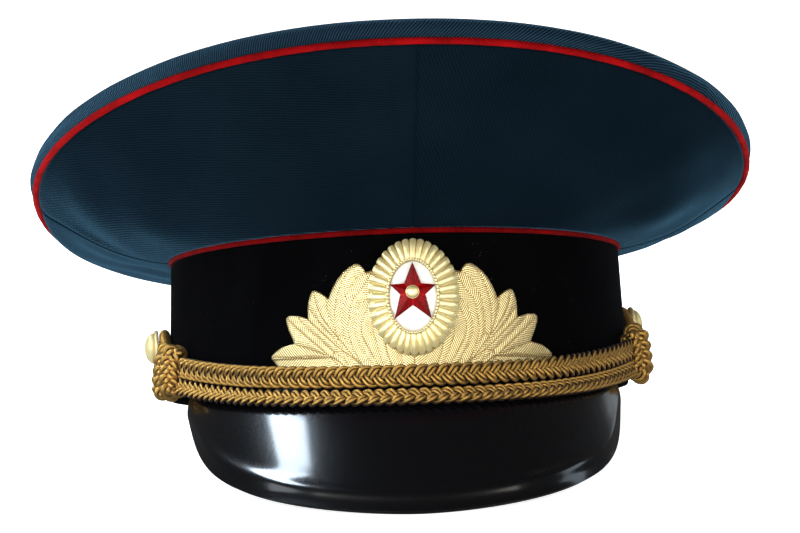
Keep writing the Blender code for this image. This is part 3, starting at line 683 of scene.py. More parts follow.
def bullion_finish():
    """Gilt wire wound on cord: fine turns of wire, with painted glints in spots and painted shade, so the
    strands are bright on top and brown on their sides and between them.
    """
    wire = Finish("gold_bullion", roughness=0.38, metallic=0.85, sheen_weight=0.05)
    u, v = wire.surface()
    turns = ((u + v * 0.5) * (2 * math.pi / 0.00042)).sine()
    # A painted glint: noise that lightens the wire's colour in spots; it also varies the roughness and the
    # bump
    painted_glint = wire.noise(900.0, 3.0, 0.6)
    age = wire.noise(75.0, 3.0, 0.6)
    # deep is painted shade from the mesh: it darkens the colour, and with it raises the roughness and
    # lowers the metallic
    deep = wire.painted_shade()
    share = (turns * 0.14 + painted_glint * 0.5 + age * 0.4 - deep * 1.25).between(-0.40, 0.65)
    wire.feed("Base Color", wire.mix(share, (0.026, 0.008, 0.0009), (0.80, 0.47, 0.118)))
    wire.feed("Roughness", 0.30 + painted_glint * 0.18 + deep * 0.15)
    wire.feed("Metallic", 0.92 - deep * 0.35)
    wire.bump(turns * 0.5 + painted_glint * 0.7, 0.00009, 0.8)
    return wire.material


def brass_finish(name, worn, veins=0.0, rough=0.26, pale=(1.0, 0.88, 0.47)):
    """Stamped bright gilt: pale gilt, and a warm dark colour where the mesh's painted shade lies, which is
    painted shade and partly lacquer left in the recesses. With veins, fine cut lines lean from each leaf's
    rib towards its tip, and a line follows every rib and every border; these lines too are painted dark,
    as shade and partly lacquer in the cuts. worn darkens the gilt in patches."""
    brass = Finish(name, metallic=0.7, roughness=0.30)
    grain = brass.noise(1400.0, 3.0, 0.6)
    age = brass.noise(120.0, 3.0, 0.6)
    # deep starts as the mesh's painted shade, partly lacquer in the recesses
    deep = brass.painted_shade()
    height = grain * 0.3 + age * 0.5
    if veins:
        u, v = brass.surface()
        row = (u + v * 0.8) * (2 * math.pi / veins)
        bead = ((u - v * 0.9) * (2 * math.pi / veins)).sine()
        cut = (row.sine() + bead * 0.35).between(-0.15, 0.85)
        rib = v.between(0.00022, 0.00008)
        border = deep.between(0.74, 0.80)
        height = height + bead * 0.2 - cut * 0.9 - rib * 0.8 - border * 0.8
        # deep adds the cut lines, the rib and border lines and the deepest recesses: painted shade, partly
        # lacquer
        deep = cut * 0.95 + rib * 0.6 + border * 0.5 + deep.between(0.80, 1.0) * 0.4
    share = (deep + age * worn * 0.35 - grain * 0.12).between(0.10, 0.95)
    brass.feed("Base Color", brass.mix(share, pale, (0.40, 0.19, 0.022)))
    brass.feed("Roughness", rough + grain * 0.14 + deep * 0.22)
    brass.bump(height, 0.00012, 0.6)
    return brass.material


def white_finish():
    """White enamel under a clear glaze, painted a darker cream towards its edge, as shade beside the bead
    rim.
    """
    enamel = Finish("white_enamel", roughness=0.25, coat_weight=1.0, coat_roughness=0.04)
    cloud = enamel.noise(260.0, 3.0)
    pits = enamel.cells(1500.0).between(0.10, 0.02) * enamel.noise(500.0, 1.0).between(0.55, 0.7)
    # The mesh's painted shade turns the white to a darker cream towards the edge
    colour = enamel.mix(cloud * 0.3 + enamel.painted_shade() * 0.6, (0.95, 0.94, 0.91), (0.78, 0.74, 0.66))
    enamel.feed("Base Color", enamel.mix(pits * 0.5, colour, (0.35, 0.30, 0.25)))
    enamel.feed("Roughness", 0.18 + cloud * 0.15)
    enamel.bump(cloud * 0.6 + pits * -0.4, 0.0001, 0.4)
    return enamel.material


def red_finish():
    """Clear red enamel over a cut metal ground that shows through as brighter streaks."""
    enamel = Finish("red_enamel", roughness=0.22, coat_weight=0.04, coat_roughness=0.05, metallic=0.15,
                    specular_ior_level=0.1)
    u, _ = enamel.surface()
    cuts = (u * (2 * math.pi / 0.0009)).sine() * 0.5 + 0.5
    cloud = enamel.noise(380.0, 3.0)
    # The mesh's painted shade darkens the red
    share = (cuts * 0.35 + cloud * 0.5 - enamel.painted_shade() * 0.45).between(0.0, 0.7)
    enamel.feed("Base Color", enamel.mix(share, (0.075, 0.0003, 0.0006), (0.38, 0.0018, 0.0032)))
    enamel.feed("Roughness", 0.18 + cloud * 0.12)
    enamel.bump(cuts * 0.5 + cloud, 0.00006, 0.4)
    return enamel.material


def floor_finish():
    """Matt pale paper with a barely visible tooth, lit through from below."""
    paper = Finish("pale_paper", roughness=0.85, specular_ior_level=0.1, emission_strength=0.85,
                   emission_color=(1.0, 1.0, 1.0, 1.0))
    tooth = paper.noise(400.0, 3.0)
    paper.feed("Base Color", paper.mix(tooth * 0.3, (0.86, 0.86, 0.86), (0.82, 0.82, 0.82)))
    paper.feed("Roughness", 0.85 + tooth * 0.1)
    return paper.material


# Settings, one group for each operator that has any


class CrownSettings(bpy.types.PropertyGroup):
    columns: IntProperty(name="Columns", description="Columns of points across a quarter",
                         default=120, min=8)
    rows: IntProperty(name="Rows", description="Rows of points from the band to the rim", default=64, min=8)
    wall: FloatProperty(name="Cloth", description="Thickness of the cloth",
                        default=0.0012, subtype="DISTANCE")
    seam_dip: FloatProperty(name="Seam dip", description="How far the cloth turns in along its seams",
                            default=0.0004, subtype="DISTANCE")
    wave: FloatProperty(name="Wave", description="Height of the soft waves in the cloth", default=0.0008,
                        subtype="DISTANCE")
    swell_left: FloatProperty(name="Left swell", description="How far the left cloth swells beside the rim",
                              default=0.0022, subtype="DISTANCE")
    swell_right: FloatProperty(name="Right swell",
                               description="How far the right cloth swells beside the rim",
                               default=0.0011, subtype="DISTANCE")
    swell_width: FloatProperty(name="Swell width", description="Distance of the swell's top from the rim",
                               default=0.004, subtype="DISTANCE")


class PipingSettings(bpy.types.PropertyGroup):
    unevenness: FloatProperty(name="Unevenness", description="Share by which the felt varies in thickness",
                              default=0.06, min=0.0, max=0.3)


class VisorSettings(bpy.types.PropertyGroup):
    ridge_width: FloatProperty(name="Ridge width", description="Half width of the embossed ridge",
                               default=0.0027, subtype="DISTANCE")
    ridge: FloatProperty(name="Ridge height", description="Height of the embossed ridge", default=0.0008,
                         subtype="DISTANCE")
    edge: FloatProperty(name="Edge", description="Rounding of the visor's edge", default=0.0005,
                        subtype="DISTANCE")


class CordSettings(bpy.types.PropertyGroup):
    pitch: FloatProperty(name="Plait pitch", description="Length of one full plait", default=0.012,
                         subtype="DISTANCE")
    swing: FloatProperty(name="Upper swing", description="How far a strand of the upper cord swings across",
                         default=0.0028, subtype="DISTANCE")
    swing_lower: FloatProperty(name="Lower swing", description="How far a strand of the lower cord swings",
                               default=0.0020, subtype="DISTANCE")
    lift: FloatProperty(name="Lift", description="How far a strand swings in and out", default=0.00095,
                        subtype="DISTANCE")
    ply: FloatProperty(name="Ply", description="Radius of one of a strand's two plies", default=0.00076,
                       subtype="DISTANCE")
    knot_ply: FloatProperty(name="Knot ply", description="Radius of one of a knot strand's two plies",
                            default=0.00112, subtype="DISTANCE")
    knot_swing: FloatProperty(name="Knot swing", description="How far a strand of a knot swings across",
                              default=0.0023, subtype="DISTANCE")
    knot_lift: FloatProperty(name="Knot lift", description="How far a strand of a knot swings in and out",
                             default=0.0012, subtype="DISTANCE")
    knot_spread: FloatProperty(name="Knot spread", description="How far a knot's plaits turn to the front",
                               default=0.45)
    knot_turns: IntProperty(name="Knot turns", description="Bights along each edge of a knot's plait",
                            default=10, min=2)


class BadgeSettings(bpy.types.PropertyGroup):
    vein_pitch: FloatProperty(name="Vein pitch", description="Distance between the veins of a leaf",
                              default=0.00088, subtype="DISTANCE")
    wreath_width: FloatProperty(name="Wreath width", description="Share of the wreath's full width",
                                default=0.986)


class StageSettings(bpy.types.PropertyGroup):
    strip: FloatProperty(name="Strip light", description="Power of the light high on the left",
                         default=17.5, unit="POWER")
    left: FloatProperty(name="Front left light", description="Power of the large soft light in front",
                        default=30.0, unit="POWER")
    right: FloatProperty(name="Front right light", description="Power of the weaker soft light in front",
                         default=12.0, unit="POWER")
    front: FloatProperty(name="Front light", description="Power of the soft light straight in front",
                         default=19.0, unit="POWER")
    side: FloatProperty(name="Left light", description="Power of the soft light low on the left",
                        default=6.0, unit="POWER")
    rear_left: FloatProperty(name="Rear left light",
                             description="Power of the soft light behind on the left",
                             default=9.0, unit="POWER")
    rear_right: FloatProperty(name="Rear right light",
                              description="Power of the soft light behind on the right",
                              default=22.0, unit="POWER")
    edge: FloatProperty(name="Edge light",
                        description="Power of the dim light that grazes the visor's right end",
                        default=0.45, unit="POWER")
    low: FloatProperty(name="Low right light", description="Power of the small light low on the right",
                       default=0.9, unit="POWER")
    back: FloatProperty(name="Back light", description="Power of the light above and behind",
                        default=75.0, unit="POWER")
    world: FloatProperty(name="Surroundings", description="Strength of the pale surroundings", default=0.05)


class CapSettings(bpy.types.PropertyGroup):
    crown: PointerProperty(type=CrownSettings)
    piping: PointerProperty(type=PipingSettings)
    visor: PointerProperty(type=VisorSettings)
    cord: PointerProperty(type=CordSettings)
    badge: PointerProperty(type=BadgeSettings)
    stage: PointerProperty(type=StageSettings)


# Pieces


class CAP_OT_quarters(bpy.types.Operator):
    """Four cloth quarters of the crown, each a cubic section carried round the cap between two seams.
    Sums of sines make soft waves, the cloth dips at its seams, and it swells beside the rim at the
    sides and the rear"""

    bl_idname = "cap.quarters"
    bl_label = "Crown quarters"

    def execute(self, context):
        values = context.scene.visor_cap.crown
        over = math.degrees(SEAM_OVERLAP / (2 * BAND_HALF_WIDTH))
        # lit, the last column, paints light and shade into each quarter's copy of the cloth: the front
        # right darkest, the rear left lightest
        for name, start, end, ribs, pitch, bold, straight, lit in (
            ("crown_front_left", -SIDE_SEAM_ANGLE, FRONT_SEAM_ANGLE, -7.0, 0.00105, 0.19, 0.9, 0.76),
            ("crown_front_right", FRONT_SEAM_ANGLE, SIDE_SEAM_ANGLE, -70.0, 0.0012, 0.16, 0.4, 0.67),
            ("crown_rear_right", SIDE_SEAM_ANGLE, 180.0, 20.0, 0.0012, 0.16, 0.0, 0.8),
            ("crown_rear_left", 180.0, 360 - SIDE_SEAM_ANGLE, 60.0, 0.0012, 0.16, 0.0, 0.95),
        ):
            share, place = grid(values.rows, values.columns)
            angle = (start - over) + (end - start + 2 * over) * place
            points = crown_point(angle, share)
            up = np.linalg.norm(np.diff(points, axis=0, prepend=points[:1]), axis=-1).cumsum(0)
            across = np.linalg.norm(np.diff(points, axis=1, prepend=points[:, :1]), axis=-1).cumsum(1)
            normal = grid_normals(points)
            edge = np.minimum(place, 1 - place) * across[:, -1:]
            ends = np.minimum(up, up[-1:] - up)
            a = np.radians(angle)
            wave = np.sin(5 * a + 1.3) * np.sin(3.1 * share + 0.4) + 0.6 * np.sin(11 * a + 4 * share)
            wave = wave + 0.5 * np.sin(17 * a - 6 * share + 2.0)
            height = values.wave * wave * smooth_step(ends / 0.02) * smooth_step(edge / 0.01)
            dip = np.exp(-edge / SEAM_DIP_WIDTH) + 0.7 * np.exp(-ends / SEAM_DIP_WIDTH)
            height = height - values.seam_dip * dip
            behind = np.abs((angle + 180) % 360 - 180)
            swell = np.where((angle % 360) > 180, values.swell_left, values.swell_right)
            swell = swell * smooth_step((behind - SWELL_START) / SWELL_START_CHANGE)
            swell = swell * smooth_step((SWELL_END - behind) / SWELL_END_CHANGE)
            from_rim = (up[-1:] - up) / values.swell_width
            height = height + swell * from_rim * np.exp(1 - from_rim)
            points = points + normal * height[..., None]
            level = (points[..., 2] - BAND_HEIGHT) / math.sin(math.radians(LEVEL_RIB_SLOPE))
            uv = together(across, up + (level - up) * straight)
            finish = twill_finish(name + "_twill", ribs, pitch, bold, lit)
            piece = make_piece(name, [patch(points, uv)], finish)
            add_wall(piece, values.wall)
        return {"FINISHED"}


class CAP_OT_top(bpy.types.Operator):
    """Top cloth: a smooth roll over the rim, then a drumhead whose height follows the rim's slope"""

    bl_idname = "cap.top"
    bl_label = "Crown top"

    def execute(self, context):
        values = context.scene.visor_cap.crown
        # Outwards by the roll's reach, upwards by its height and inwards by its height, from the rim up
        roll = np.array((
            (0.15, (CROWN_PIPING_RADIUS - SEAM_BITE) / TOP_ROLL_HEIGHT, 0.0),
            (0.55, 0.27, 0.0),
            (1.0, 0.50, 0.0),
            (0.6, 0.80, 0.0),
            (0.0, 0.96, 0.30),
            (0.0, 1.0, 0.80),
        ))
        angle = np.linspace(0, 360, 241)
        rim, lift = rim_point(angle)
        out = unit((rim - (0, RIM_BACKWARD, 0)) * (1, 1, 0))
        shape = smooth_through(np.arange(6), roll, np.linspace(0, 5, 32))
        outwards, upwards, inwards = shape.T[..., None, None]
        reach = outwards * TOP_ROLL_OUT - inwards * TOP_ROLL_HEIGHT
        rows = rim + out * reach + np.array((0, 0, 1)) * upwards * TOP_ROLL_HEIGHT
        edge = rows[-1]
        middle = BAND_HEIGHT + RIM_RISE + TOP_ROLL_HEIGHT - TOP_SAG
        share = np.linspace(1, 0, 30)[1:, None]
        s, c = turn(angle)
        height = middle + RIM_SLOPE * share * c + RIM_SADDLE * share**2 * (2 * c * c - 1)
        height = height + (TOP_SAG + lift) * share**2
        head = vector(edge[:, 0] * share, RIM_BACKWARD + (edge[:, 1] - RIM_BACKWARD) * share, height)
        points = np.concatenate((rows, head))
        a = np.radians(angle)
        wave = np.sin(7 * a + 0.6) + 0.7 * np.sin(13 * a + 2.0) + 0.5 * np.sin(29 * a)
        bulge = np.zeros(len(points))
        bulge[: len(rows)] = np.sin(np.linspace(0, np.pi, len(rows)))
        points = points + out * (TOP_ROLL_WAVE * wave * bulge[:, None])[..., None]
        steps = np.linalg.norm(np.diff(points, axis=0), axis=-1)
        reach = np.concatenate((np.cumsum(steps[::-1], axis=0)[::-1], np.zeros((1, len(angle)))))
        top = patch(points, together(reach * s, -reach * c), around=True, poles=(False, True))
        # The top's copy of the cloth is painted 2.5 times lighter: painted light on the upward-facing roll
        # and drumhead
        finish = twill_finish("crown_top_twill", 53.0, 0.00094, 0.6, 2.5)
        piece = make_piece("crown_top", [top], finish)
        add_wall(piece, values.wall)
        return {"FINISHED"}


class CAP_OT_piping(bpy.types.Operator):
    """Red felt piping: a circle of slightly uneven radius carried round the rim and the band's seam"""

    bl_idname = "cap.piping"
    bl_label = "Piping"

    def execute(self, context):
        uneven = context.scene.visor_cap.piping.unevenness
        angle = np.linspace(0, 360, 721)
        a = np.radians(angle)[:, None]
        turned = np.linspace(0, 2 * np.pi, 19)
        # lit paints the band's piping darker than the crown's: painted shade under the overhang of the
        # crown
        for name, path, radius, lit in (
            ("crown_piping", rim_point(angle)[0], CROWN_PIPING_RADIUS, 0.64),
            ("band_piping", on_band(angle, BAND_HEIGHT), BAND_PIPING_RADIUS, 0.34),
        ):
            bulge = np.sin(23 * a + 2 * turned) + np.sin(61 * a - turned + 1.0)
            bulge = bulge + 0.7 * np.sin(140 * a + 3 * turned)
            section = circle(18) * (radius * (1 + uneven * 0.4 * bulge))[..., None]
            points = sweep(path, band_out(angle), section, closed=True)
            uv = together(arc_length(path)[:, None], turned * radius)
            piping = patch(points, uv, around=True, ring=True)
            make_piece(name, [piping], felt_finish(name + "_felt", lit))
        return {"FINISHED"}


class CAP_OT_band(bpy.types.Operator):
    """Velvet band: a flat section with rounded edges carried round an oval"""

    bl_idname = "cap.band"
    bl_label = "Band"

    def execute(self, context):
        top = BAND_HEIGHT - BAND_PIPING_RADIUS + SEAM_BITE
        edge = BAND_WALL / 2
        angle = np.linspace(0, 360, 361)
        steps = np.linspace(0, 1, 12)
        half = np.radians(np.linspace(0, 180, 10))
        outer = together(edge + (top - 2 * edge) * steps, 0.0)
        over = together(top - edge + edge * np.sin(half), -edge + edge * np.cos(half))
        inner = together(outer[::-1, 0], -BAND_WALL)
        under = together(edge - edge * np.sin(half), -edge - edge * np.cos(half))
        profile = np.concatenate((outer, over[1:], inner[1:], under[1:]))
        points = np.stack([on_band(angle, height, np.full(len(angle), off)) for height, off in profile])
        uv = together(arc_length(points[0]), arc_length(profile)[:, None])
        band = patch(points, uv, around=True, ring=True)
        make_piece("band", [band], velvet_finish())
        return {"FINISHED"}


class CAP_OT_visor(bpy.types.Operator):
    """Lacquered visor: for each place across, a bowed line of changing length and slope from the band
    to the edge, with a rounded ridge a fixed distance inside the edge"""

    bl_idname = "cap.visor"
    bl_label = "Visor"

    def execute(self, context):
        values = context.scene.visor_cap.visor
        row, column = grid(80, 200)
        place = column * 2 - 1
        size = np.abs(place)
        length = VISOR_END_LENGTH + (VISOR_LENGTH - VISOR_END_LENGTH) * (1 - size**VISOR_ROUNDNESS)
        slope = VISOR_SLOPE + (VISOR_END_SLOPE - VISOR_SLOPE) * size**VISOR_SLOPE_POWER
        share = 1 - row**1.25
        from_edge = (1 - share) * length
        s, c = turn(slope)
        full = length / VISOR_LENGTH
        ridge_in = np.minimum(VISOR_RIDGE_IN, length * VISOR_RIDGE_END_SHARE)
        ridge = np.exp(-(((from_edge - ridge_in) / values.ridge_width) ** 2))
        bow = VISOR_BOW * full * 4 * share * (1 - share)
        bow = bow + values.ridge * ridge * np.minimum(1.0, full * VISOR_RIDGE_FADE)
        out = length * share * c + bow * s
        down = length * share * s - bow * c
        angle = place * VISOR_HALF_ANGLE
        points = on_band(angle, np.zeros_like(angle), out - VISOR_TUCK) - vector(0, 0, GAP + down)
        uv = together(angle * VISOR_METRES_PER_DEGREE, from_edge)
        piece = make_piece("visor", [patch(points, uv)], lacquer_finish())
        add_wall(piece, VISOR_WALL, values.edge)
        return {"FINISHED"}


def plait(path, out, pitch, swing, lift, ply, way=1, shade=1.15):
    """Three strands carried along a path. Strand m swings across by the sine of its turn and in and
    out by the sine of twice its turn, where a whole turn is one pitch. Each strand is two round plies
    side by side. way turns the plait's order over. The tone paints shade into the colour: shade sets
    how much the sides of the plies are painted darker, and the strands are painted darker where they lie
    inward."""
    length = arc_length(path)
    tangent = tangents(path)
    out = unit(out - tangent * np.sum(out * tangent, axis=-1, keepdims=True))
    across = np.cross(out, tangent)
    round_it = np.linspace(0, 2 * np.pi, 11)
    made = []
    for m in range(3):
        theta = 2 * np.pi * (length / pitch + m / 3)
        raised = np.sin(2 * theta)
        centre = path + across * (swing * np.sin(theta))[:, None] + out * (way * lift * raised)[:, None]
        beside = np.cross(out, tangents(centre)) * ply
        for side in (-1, 1):
            line, shares = capped(centre + side * beside, ply * 0.8)
            facing = np.pad(out, ((CAP_STEPS, CAP_STEPS), (0, 0)), mode="edge")
            points = sweep(line, facing, circle(10) * (ply * 0.94 * shares)[:, None, None])
            deep = np.pad(0.5 - 0.5 * way * raised, CAP_STEPS, mode="edge")[:, None]
            uv = together(arc_length(line)[:, None], round_it * ply)
            # tone is painted shade: the sides and the inward face of each ply, and the strands that lie
            # inward, are painted darker
            tone = np.clip(shade * (1 - np.cos(round_it)) + deep * 0.40 - 0.12, 0, 1)
            made.append(patch(points, uv, around=True, poles=(True, True), tone=tone))
    return made


def knot_angles(room):
    """The angles, left and right, that lie a room before the middle of each knot."""
    return [sign * (knot - room * degrees_per_metre(knot)) for sign, knot, *_ in SIDES.values()]


def cord_path(angle, level):
    """The centre line of a cord and the direction its flat side faces, level 1 for the upper cord and
    -1 for the lower one, which lies flat on the root of the visor."""
    knot = np.where(angle > 0, SIDES["right"][1], SIDES["left"][1])
    knot_height = np.where(angle > 0, SIDES["right"][2], SIDES["left"][2])
    share = np.abs(angle) / knot
    height = CORD_FRONT_HEIGHT + (knot_height - CORD_FRONT_HEIGHT) * share**CORD_RISE_POWER
    height = height + level * (CORD_HALF_HEIGHT + GAP / 2)
    on_cloth = CORD_HALF_DEPTH + GAP + CORD_KNOT_PUSH * share**CORD_PUSH_POWER
    if level > 0:
        rest = WREATH_BACK + WREATH_PLATE + WREATH_RELIEF + 3 * GAP + CORD_HALF_DEPTH
        end = math.degrees(math.asin((WREATH_HALF_WIDTH + BADGE_SIDEWAYS) / BAND_HALF_WIDTH))
        rest = rest * (1 - smooth_step((np.abs(angle) - end) / CORD_SETTLE_ANGLE))
        return on_band(angle, height, soft_larger(on_cloth, rest)), band_out(angle)
    size = np.minimum(np.abs(angle / VISOR_HALF_ANGLE), 1.0)
    s, c = turn(VISOR_SLOPE + (VISOR_END_SLOPE - VISOR_SLOPE) * size**VISOR_SLOPE_POWER)
    rest = (CORD_HALF_DEPTH + GAP + VISOR_BOW / 2 - (height + GAP) * c) / s - VISOR_TUCK
    facing = band_out(angle) * s[:, None] + vector(0, 0, c)
    return on_band(angle, height, soft_larger(on_cloth, rest)), facing


def cord_plait(values, level, start_angle, end_angle, count):
    """The plait of one cord between two angles, on a path with a count of points."""
    path, facing = cord_path(np.linspace(start_angle, end_angle, count), level)
    swing = values.swing if level > 0 else values.swing_lower
    return plait(path, facing, values.pitch, swing, values.lift, values.ply, level)


class CAP_OT_cords(bpy.types.Operator):
    """Two plaited chin cords along the band, each of three two-ply strands"""

    bl_idname = "cap.cords"
    bl_label = "Chin cords"

    def execute(self, context):
        values = context.scene.visor_cap.cord
        finish = bullion_finish()
        ends = knot_angles(KNOT_HALF_LENGTH + GAP)
        for name, level in (("chin_cord_upper", 1), ("chin_cord_lower", -1)):
            make_piece(name, cord_plait(values, level, *ends, 620), finish)
        return {"FINISHED"}


class CAP_OT_knots(bpy.types.Operator):
    """A knot at each end: three closed plaits wound round both cords side by side, the outer two a
    little smaller. Each plait faces away from the cords, and the further back it lies, the more it is
    turned to the front. The ends of the cords are inside"""

    bl_idname = "cap.knots"
    bl_label = "Knots"

    def execute(self, context):
        values = context.scene.visor_cap.cord
        finish = bullion_finish()
        reach = values.knot_lift + values.knot_ply
        ends = knot_angles(KNOT_HALF_LENGTH)
        inner = knot_angles(-KNOT_HALF_LENGTH * 0.5)
        turned = np.linspace(-0.5 * np.pi, 1.5 * np.pi, 210)
        for side, (name, (sign, knot, height, _, _)) in enumerate(SIDES.items()):
            per_metre = degrees_per_metre(knot)
            parts = []
            for place in (-1, 0, 1):
                size = 1 - KNOT_SHRINK * place**2
                rise = signed_power(np.cos(turned), KNOT_SQUARENESS) * (KNOT_HALF_HEIGHT - reach) * size
                depth = signed_power(np.sin(turned), KNOT_SQUARENESS) * (KNOT_HALF_DEPTH - reach) * size
                along = place * KNOT_SPACING - KNOT_FORWARD - rise * KNOT_SLANT
                angle = sign * (knot + along * per_metre)
                off = GAP + KNOT_HALF_DEPTH
                path = on_band(angle, height + rise, off + depth)
                middle = on_band(angle, height + rise * 0.6, np.full(len(angle), off))
                onward = sign * np.cross((0, 0, 1), band_out(angle))
                facing = unit(path - middle) + onward * ((place - 1) * values.knot_spread)
                pitch = arc_length(path)[-1] * 3 / values.knot_turns
                parts += plait(path, facing, pitch, values.knot_swing, values.knot_lift,
                               values.knot_ply, shade=1.0)
            for level in (1, -1):
                parts += cord_plait(values, level, ends[side], inner[side], 60)
            make_piece(f"knot_{name}", parts, finish)
        return {"FINISHED"}


class CAP_OT_loops(bpy.types.Operator):
    """The whipped end of the cord: a ribbed tube in a drop-shaped loop, two straight legs from the
    knot that touch an arc round the button's shank"""

    bl_idname = "cap.loops"
    bl_label = "Loops"

    def execute(self, context):
        finish = bullion_finish()
        radius = SHANK_RADIUS + LOOP_CLEARANCE + LOOP_CORD_RADIUS
        spread = np.array((0, LOOP_CORD_RADIUS + GAP))
        leg = np.linspace(0, 1, 14, endpoint=False)[:, None]
        for name, (sign, knot, knot_height, button, button_height) in SIDES.items():
            per_metre = degrees_per_metre(button)
            knot_end = knot + (KNOT_HALF_LENGTH + GAP) * degrees_per_metre(knot)
            drop = (knot_height - button_height) * LOOP_START_DROP
            start = np.array(((knot_end - button) / per_metre, drop))
            towards = math.degrees(math.atan2(start[1], start[0]))
            tangent = math.degrees(math.acos(radius / np.hypot(*start)))
            s, c = turn(np.linspace(towards - tangent, towards + tangent - 360, 60))
            arc = together(radius * c, radius * s)
            first = (start + spread) + (arc[0] - start - spread) * leg
            last = (start - spread) + (arc[-1] - start + spread) * leg[::-1]
            route = np.concatenate((first, arc, last))
            length = arc_length(route)
            even = np.linspace(0, length[-1], 620)
            route = np.stack([np.interp(even, length, route[:, i]) for i in range(2)], -1)
            angle = sign * (button + route[:, 0] * per_metre)
            path = on_band(angle, button_height + route[:, 1], LOOP_CORD_RADIUS + GAP)
            path, shares = capped(path, LOOP_CORD_RADIUS * 0.5)
            facing = band_out(np.pad(angle, CAP_STEPS, mode="edge"))
            along = arc_length(path)[:, None]
            rib = np.abs(np.sin(np.pi * along / LOOP_RIB_PITCH))
            reach = LOOP_CORD_RADIUS * (0.76 + 0.30 * rib**0.6) * shares[:, None]
            points = sweep(path, facing, circle(16) * reach[..., None])
            uv = together(along, np.linspace(0, LOOP_GIRTH, 17))
            # tone paints shade in the grooves between the ribs and, where it goes below 0, light on their
            # crests
            loop = patch(points, uv, around=True, poles=(True, True), tone=1 - 1.35 * rib)
            make_piece(f"cord_loop_{name}", [loop], finish)
        return {"FINISHED"}


class CAP_OT_buttons(bpy.types.Operator):
    """A domed button with a rolled rim on a shank: a profile turned round the button's axis"""

    bl_idname = "cap.buttons"
    bl_label = "Buttons"

    def execute(self, context):
        back = 2 * LOOP_CORD_RADIUS + 3 * GAP
        finish = brass_finish("button_brass", 0.6, rough=0.5)
        turned = np.linspace(0, 360, 97)
        dome = np.radians(np.linspace(0, 90, 22))
        rolled = np.radians(np.linspace(80, -90, 14))
        inside = BUTTON_RADIUS - BUTTON_DOME_INSET
        profile = np.concatenate((
            together(inside * np.sin(dome), back + BUTTON_RIM + BUTTON_DOME * np.cos(dome) ** 0.8),
            together(
                BUTTON_RADIUS - BUTTON_RIM + BUTTON_RIM * np.cos(rolled),
                back + BUTTON_RIM_MIDDLE + BUTTON_RIM * np.sin(rolled),
            ),
            ((SHANK_RADIUS, back), (SHANK_RADIUS, back - 0.0004), (SHANK_RADIUS, GAP), (0.0, GAP)),
        ))
        s, c = turn(turned)
        for name, (sign, _, _, angle, height) in SIDES.items():
            centre = on_band(np.array(sign * angle), height)
            out = band_out(sign * angle)
            side = unit(np.cross(out, (0, 0, 1)))
            up = np.cross(side, out)
            points = (
                centre
                + side * (profile[:, :1] * s)[..., None]
                + up * (profile[:, :1] * c)[..., None]
                + out * np.broadcast_to(profile[:, 1:], (len(profile), len(turned)))[..., None]
            )
            uv = together(turned / 360 * 0.04, arc_length(profile)[:, None])
            # painted shade: a dark ring in the crease where the dome meets the rolled rim
            tone = 0.5 * np.exp(-(((profile[:, :1] - inside) / 0.0003) ** 2))
            body = patch(points, uv, around=True, poles=(True, True), tone=tone)
            make_piece(f"button_{name}", [body], finish)
        return {"FINISHED"}


def badge_place(x, rise):
    """X and height of a place on the badge, given from the middle of the wreath's lower edge."""
    s, c = turn(BADGE_TURN)
    return BADGE_SIDEWAYS + x * c + rise * s, WREATH_ROOT_HEIGHT + rise * c - x * s


def along_ribs(x, rise):
    """For every leaf, how far each point lies along its rib and beside it, and its plain distance."""
    points = np.stack((np.abs(x), rise), -1)
    found = []
    for rib in LEAF_RIBS:
        corners = np.array(rib) * 0.001
        key = arc_length(corners)
        at = np.linspace(0, key[-1], 100)
        line = smooth_through(key, corners, at)
        nearest = np.argmin(((points[:, :, None] - line) ** 2).sum(-1), axis=2)
        direction = unit(np.gradient(line, axis=0))[nearest]
        offset = points - line[nearest]
        beside = offset[..., 0] * direction[..., 1] - offset[..., 1] * direction[..., 0]
        along = at[nearest] + np.sum(offset * direction, axis=-1)
        found.append((along, np.abs(beside), np.linalg.norm(offset, axis=-1)))
    return np.moveaxis(np.array(found), 1, 0)


